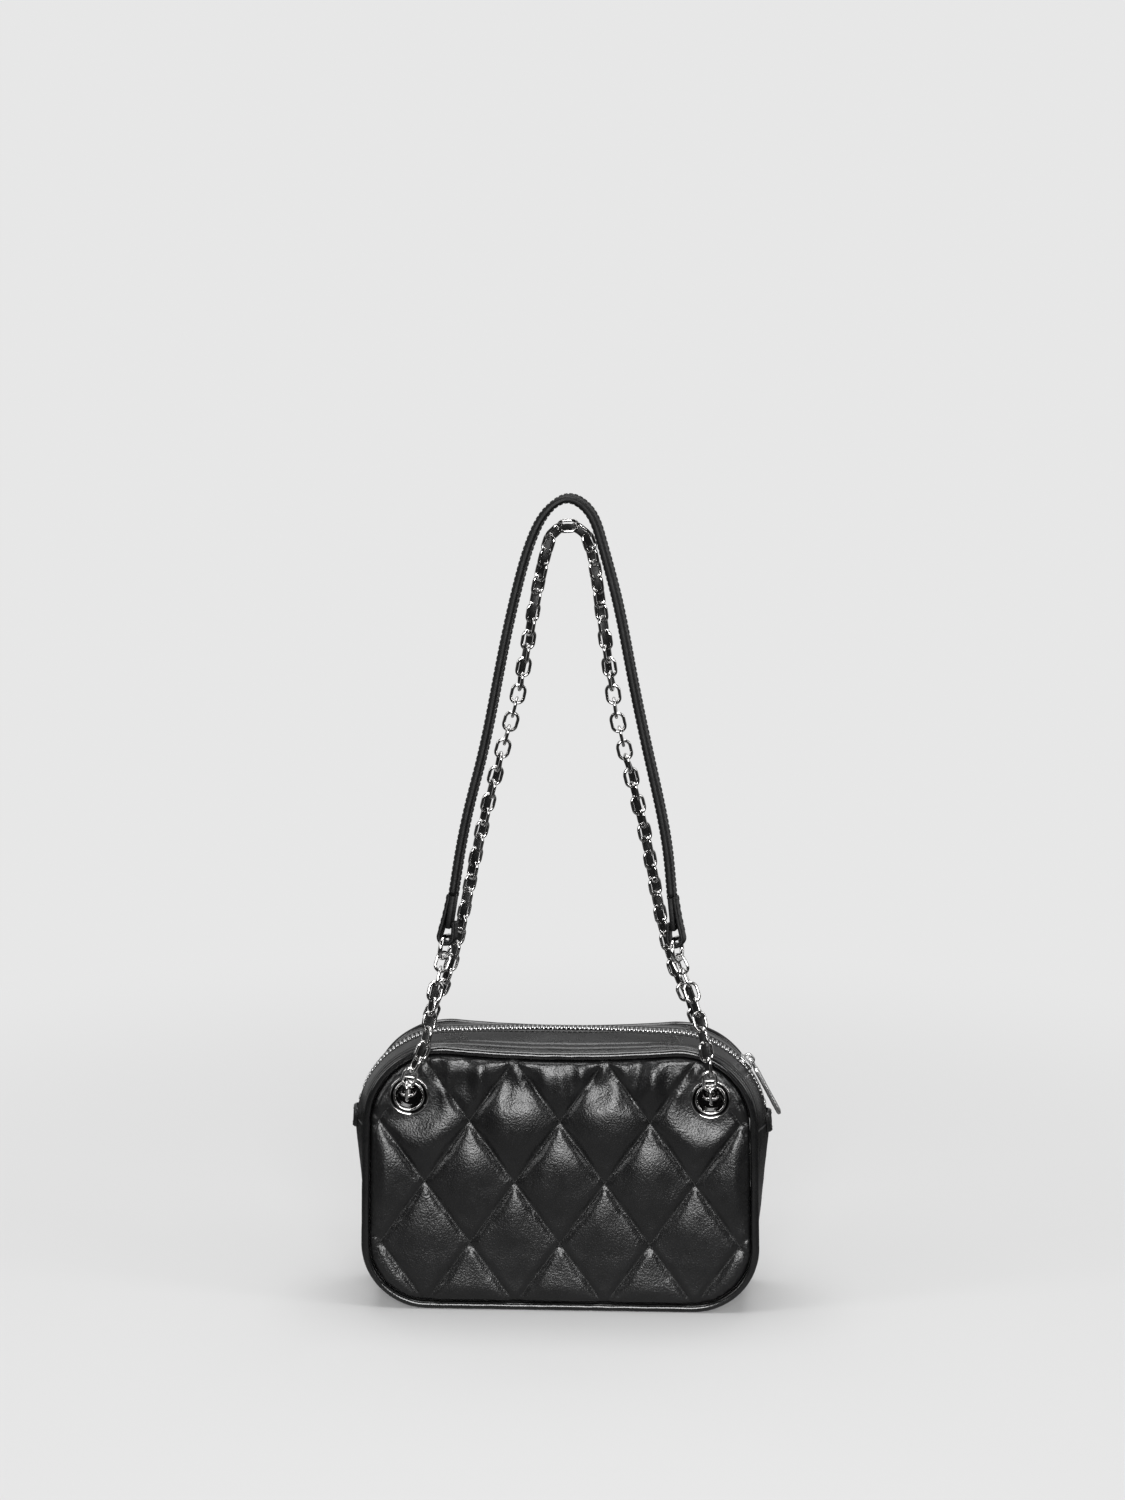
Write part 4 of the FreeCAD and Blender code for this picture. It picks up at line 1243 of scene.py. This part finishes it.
pull_pivot = slider_point(0.0, bail_low + bail_height / 2)
pull_lean = math.radians(pull_tilt)
pull_along = np.array([math.sin(pull_lean), 0.0, -math.cos(pull_lean)])
pull_flat = np.cross(ACROSS, pull_along)
pull_axes = (pull_flat, ACROSS, pull_along)
pull = Heap()
rounded_box(pull, (pull_pin_radius, pull_outer, pull_pin_radius), pull_pin_radius * pull_pin_round_share,
            pull_pivot, pull_axes)
for side, _ in HANDS:
    arm_middle = ACROSS * side * (pull_outer + pull_inner) / 2 + pull_along * pull_arm_length / 2
    rounded_box(pull, (pull_arm_half, (pull_outer - pull_inner) / 2, pull_arm_length / 2 + pull_arm_overlap),
                pull_arm_round, pull_pivot + arm_middle, pull_axes)
bar_reach = pull_arm_length + pull_bar_shares[:, 0] * (pull_length - pull_arm_length)
bar_path = pull_pivot + np.outer(bar_reach, pull_along)
sweep(pull, bar_path, ACROSS, pull_flat, rounded_section(pull_outer, pull_thickness / 2, pull_round),
      pull_bar_shares[:, 1])
pull.make("zip_pull_bar", zip_metal, "zip_metal", ["zip_pull"], "zip_pull")


# Laces that swing from side to side through the links of the chain
def link_frames(node):
    """Centre and width axis of every link, in order along the run."""
    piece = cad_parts[node]
    matrix = np.array(piece.matrix_world)
    work = bmesh.new()
    work.from_mesh(piece.data)
    bmesh.ops.remove_doubles(work, verts=work.verts, dist=METRE * METRE)
    seen = set()
    frames = []
    for vertex in work.verts:
        if vertex in seen:
            continue
        seen.add(vertex)
        group, queue = [], [vertex]
        while queue:
            here = queue.pop()
            group.append(tuple(here.co))
            fresh = [edge.other_vert(here) for edge in here.link_edges if edge.other_vert(here) not in seen]
            seen.update(fresh)
            queue += fresh
        points = np.array(group) / METRE @ matrix[:3, :3].T + matrix[:3, 3] / METRE
        centre = points.mean(axis=0)
        frames.append((centre, np.linalg.svd(points - centre, full_matrices=False)[2][1]))
    work.free()
    centres = np.array([centre for centre, _ in frames])
    first_of = centres[:, 2]
    if "inner" in node:
        first_of = centres[:, 1]
    elif "arch" in node:
        first_of = centres[:, 0] + centres[:, 2]
    order = [int(np.argmin(first_of))]
    while len(order) < len(frames):
        gaps = np.linalg.norm(centres - centres[order[-1]], axis=1)
        gaps[order] = np.inf
        order.append(int(np.argmin(gaps)))
    return [frames[i] for i in order]


def along_side(vector, other):
    """The vector or its opposite, whichever points more the other's way."""
    return vector if vector @ other > 0 else -vector


def squared(vectors, along):
    """Unit vectors square to the directions along a line."""
    vectors = vectors - along * (along * vectors).sum(axis=1)[:, None]
    return vectors / np.linalg.norm(vectors, axis=1)[:, None]


def lace(node, chain_node, skip_last, body):
    """Ribbon woven between the links of one run, with rounded edges."""
    frames = link_frames(chain_node)
    frames = frames[1:len(frames) - skip_last]
    axis = frames[0][1]
    middles, swings = [], []
    for i, ((centre, wide), (next_centre, next_wide)) in enumerate(zip(frames, frames[1:])):
        way = -1 if i % 2 else 1
        along = unit(next_centre - centre)
        here = along_side(wide, axis)
        axis = along_side(next_wide, np.cross(along, here))
        swing = here + way * axis
        swing = unit(swing - along * (along @ swing))
        middles.append((centre + next_centre) / 2 + swing * lace_swing * way)
        swings.append(along_side(swing, swings[-1]) if swings else swing)
    middles, swings = np.array(middles), np.array(swings)
    count = lace_steps * len(middles)
    path = spline(middles, unit(middles[1] - middles[0]), unit(middles[-1] - middles[-2]), count)
    steps = np.linspace(0.0, 1.0, len(swings))
    wanted = np.linspace(0.0, 1.0, count)
    along = tangents(path)
    thicks = squared(np.stack([np.interp(wanted, steps, part) for part in swings.T], axis=1), along)
    ribbon = Heap()
    sweep(ribbon, path, np.cross(along, thicks), thicks,
          rounded_section(lace_width / 2, lace_thickness / 2, lace_round, 3))
    ribbon.make(node + "_ribbon", lace_leather, "lace_leather", [node], body)


for _, hand in HANDS:
    lace("inner_lace_" + hand, "inner_chain_" + hand, 1, "bag_shell")
    lace("front_lace_" + hand, "front_chain_" + hand, 1, "front_chains")
    lace("rear_lace_" + hand, "rear_chain_" + hand, 2, "rear_chain")
lace("rear_lace_arch", "rear_chain_arch", 1, "rear_chain_top")


# Shoulder strap and its looped ends
strap_wide = np.array([math.sin(math.radians(strap_yaw)), math.cos(math.radians(strap_yaw)), 0.0])


def strap_point(x_share, y_share, height_share=0.0):
    return np.array([x_share * eyelet_x, y_share * chain_pivot_y,
                     ring_place_height + height_share * (strap_top - ring_place_height)])


ring_places = [strap_point(*shares) for shares in (left_ring_shares, right_ring_shares)]
strap_route = [strap_point(*shares) for shares in strap_shares]
end_ways = [unit(strap_route[0] - ring_places[0]), unit(strap_route[-1] - ring_places[1])]
end_tops = [place + way * (ring_drop + loop_length + fit) for place, way in zip(ring_places, end_ways)]
strap_line = np.array([end_tops[0]] + strap_route + [end_tops[1]])
strap_path = spline(strap_line, end_ways[0], -end_ways[1], strap_count)
strap_along = tangents(strap_path)
strap_wides = squared(strap_wide, strap_along)
strap_thicks = np.cross(strap_wides, strap_along)
strap = Heap()
sweep(strap, strap_path, strap_wides, strap_thicks,
      rounded_section(strap_width / 2, strap_thickness / 2, strap_round, 5))
strap.make("shoulder_strap_leather", strap_leather, "strap_leather", ["shoulder_strap"], "strap")
strap_thread = Heap()
strap_seam = strap_width / 2 - strap_seam_inset
for face in (-1, 1):
    for edge in (-1, 1):
        row = strap_path + strap_wides * edge * strap_seam + strap_thicks * face * strap_thickness / 2
        stitches(strap_thread, row, strap_thicks * face)
strap_thread.make("shoulder_strap_stitches", thread, "strap_leather", (), "strap")


def strap_end(side, hand, place, way):
    """Leather folded round the ring: a long ply, a short ply and the strap's tongue between them."""
    origin = place + way * ring_drop
    thick_way = unit(np.cross(strap_wide, way))
    wide_way = np.cross(way, thick_way)

    def at(x, z):
        return origin + thick_way * x + way * z

    bend = loop_hole_radius + loop_ply / 2
    long_x = (strap_thickness + leather_thickness - loop_ply) / 2
    short_x = (strap_thickness + loop_ply) / 2
    line = [(side * (long_x + (bend - long_x) * (1 - s) ** loop_power), s * loop_length)
            for s in np.linspace(1.0, 0.0, loop_long_count)]
    line += [(side * bend * math.cos(turn), -bend * math.sin(turn))
             for turn in np.linspace(0.0, math.pi, loop_bend_count)[1:-1]]
    line += [(-side * (short_x + (bend - short_x) * (1 - s)), s * loop_short_length)
             for s in np.linspace(0.0, 1.0, loop_short_count)]
    path = np.array([at(x, z) for x, z in line])
    loop = Heap()
    sweep(loop, path, wide_way, np.cross(wide_way, tangents(path)),
          rounded_section(strap_width / 2, loop_ply / 2, loop_round))
    tongue_low = loop_hole_radius + tongue_gap
    tongue_half = (loop_length - tongue_low) / 2
    rounded_box(loop, (tongue_half_thickness, strap_width / 2 - tongue_trim, tongue_half), loop_round,
                at(-side * (strap_thickness / 2 - tongue_half_thickness), tongue_low + tongue_half),
                (thick_way, wide_way, way))
    loop.make("strap_loop_%s_fold" % hand, strap_leather, "strap_leather", ["strap_loop_" + hand], "strap")
    sewn = Heap()
    reach = strap_width / 2 - loop_seam_inset
    seams = [(path[loop_seam_span] + wide_way * edge * reach, side, 1) for edge in (-1, 1)]
    for index, facing in zip(loop_cross_places, (side, -side)):
        row = path[index] + np.outer(np.linspace(-reach, reach, loop_cross_count), wide_way)
        seams.append((row, facing, loop_cross_share))
    for row, facing, share in seams:
        outward = facing * thick_way
        stitches(sewn, row + outward * loop_ply / 2, outward, seam_stitch_pitch * share,
                 seam_stitch_length * share)
    sewn.make("strap_loop_%s_stitches" % hand, thread, "strap_leather", (), "strap")


for (side, hand), place, way in zip(HANDS, ring_places, end_ways):
    strap_end(side, hand, place, way)


# Materials of the pieces that keep their shape from the frame
kept_nodes = [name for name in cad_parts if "chain" in name or name.startswith("strap_ring")]
kept_materials = {polished_metal: kept_nodes + ["eyelet_washers"], stiffener: ["base_board"]}
for material, names in kept_materials.items():
    for name in names:
        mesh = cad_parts[name].data
        mesh.materials.clear()
        mesh.materials.append(material)


# Floor, world, lamps and camera, in metres and watts
floor_radius = 0.9
floor_steps = 96
backdrop_colour = (0.80, 0.80, 0.80, 1.0)
paper_colour = (0.575, 0.575, 0.575, 1.0)
paper_roughness = 0.9
glow_range = {"From Min": 0.12, "From Max": 0.8, "To Min": 0.12, "To Max": 1.0}
mirror_range = {"From Min": 0.08, "From Max": 0.42, "To Min": 0.28, "To Max": 0.03}
world_strength = 0.35
glossy_greys = ((0.35, 0.02), (0.8, 0.45))
lamp_target = (0.0, 0.0, 0.1)
lamps = {"overhead": ((0.0, 0.05, 1.5), (1.1, 1.0), 17.5), "front": ((0.15, -2.3, 0.74), (1.1, 1.0), 40.0),
         "left_window": ((-1.4, -0.6, 0.9), (0.3, 1.1), 5.0),
         "right_window": ((1.5, -0.5, 0.9), (0.3, 1.1), 5.0)}
camera_place = (0.0869, -1.9085, 0.6846)
camera_turn = math.radians(2.6)
camera_pitch = math.radians(11.0)
camera_sensor = 36.0
camera_lens = 85.0


def rays(tree, kind):
    """One for the rays of a kind, nought for the rest."""
    return add_node(tree, "ShaderNodeLightPath", {}).outputs["Is %s Ray" % kind]


def pale_rays(tree):
    """One for the rays that should see an even pale background, nought for the rest."""
    either = {0: rays(tree, "Camera"), 1: rays(tree, "Transmission")}
    return add_node(tree, "ShaderNodeMath", either, operation="MAXIMUM").outputs["Value"]


def mixed(tree, share, first, second):
    return add_node(tree, "ShaderNodeMixShader", {"Fac": share, 1: first, 2: second}).outputs["Shader"]


def make_floor():
    """Round sheet of paper whose own glow rises to the backdrop's at its edge, and which mirrors dimly."""
    mesh = bpy.data.meshes.new("floor")
    turns = np.linspace(0.0, FULL_TURN, floor_steps, endpoint=False)
    rim = [(floor_radius * math.cos(turn), floor_radius * math.sin(turn), 0.0) for turn in turns]
    mesh.from_pydata(rim, [], [tuple(range(floor_steps))])
    floor = add_object("floor", mesh)
    material, tree, shader, place = new_material("floor_paper")
    paper = {"Base Color": paper_colour, "Roughness": paper_roughness, "Specular IOR Level": 0.0}
    for key, value in paper.items():
        feed(tree, shader, key, value)
    far = add_node(tree, "ShaderNodeVectorMath", {0: place}, operation="LENGTH").outputs["Value"]

    def over_distance(span):
        inputs = {"Value": far, **span}
        return add_node(tree, "ShaderNodeMapRange", inputs, interpolation_type="SMOOTHSTEP").outputs["Result"]

    def glow(strength):
        inputs = {"Color": backdrop_colour, "Strength": strength}
        return add_node(tree, "ShaderNodeEmission", inputs).outputs["Emission"]

    shown = {0: pale_rays(tree), 1: over_distance(glow_range)}
    shown = add_node(tree, "ShaderNodeMath", shown, operation="MULTIPLY").outputs["Value"]
    surface = mixed(tree, shown, shader.outputs["BSDF"], glow(1.0))
    surface = mixed(tree, rays(tree, "Glossy"), surface, glow(over_distance(mirror_range)))
    feed(tree, tree.nodes["Material Output"], "Surface", surface)
    mesh.materials.append(material)


def make_world():
    """Even dim light, dark in front of the bag for reflections, and a pale backdrop for the camera."""
    world = bpy.data.worlds.new("studio")
    bpy.context.scene.world = world
    world.use_nodes = True
    tree = world.node_tree
    base = tree.nodes["Background"]
    feed(tree, base, "Color", (1.0, 1.0, 1.0, 1.0))
    feed(tree, base, "Strength", world_strength)
    place = add_node(tree, "ShaderNodeTexCoord", {}).outputs["Generated"]
    depth = add_node(tree, "ShaderNodeSeparateXYZ", {"Vector": place}).outputs["Y"]
    share = add_node(tree, "ShaderNodeMath", {0: depth, 1: 0.5, 2: 0.5}, operation="MULTIPLY_ADD")
    grey = ramp(tree, share.outputs["Value"], *glossy_greys)
    dim, pale = (add_node(tree, "ShaderNodeBackground", {"Color": colour}).outputs["Background"]
                 for colour in (grey, backdrop_colour))
    surface = mixed(tree, rays(tree, "Glossy"), base.outputs["Background"], dim)
    feed(tree, tree.nodes["World Output"], "Surface", mixed(tree, pale_rays(tree), surface, pale))


def aim(piece, place, way):
    piece.location = place
    piece.rotation_euler = Vector(way).to_track_quat("-Z", "Y").to_euler()


def make_lamp(name, place, size, power):
    data = bpy.data.lights.new(name, "AREA")
    data.shape = "RECTANGLE"
    data.size, data.size_y = size
    data.energy = power
    aim(add_object(name, data), place, Vector(lamp_target) - Vector(place))


def make_camera():
    data = bpy.data.cameras.new("camera")
    data.sensor_fit = "VERTICAL"
    data.sensor_height = camera_sensor
    data.lens = camera_lens
    camera = add_object("camera", data)
    level = math.cos(camera_pitch)
    aim(camera, camera_place,
        (-math.sin(camera_turn) * level, math.cos(camera_turn) * level, -math.sin(camera_pitch)))
    bpy.context.scene.camera = camera


make_floor()
make_world()
for name, (place, size, power) in lamps.items():
    make_lamp(name, place, size, power)
make_camera()
bpy.context.scene.view_settings.view_transform = "Standard"
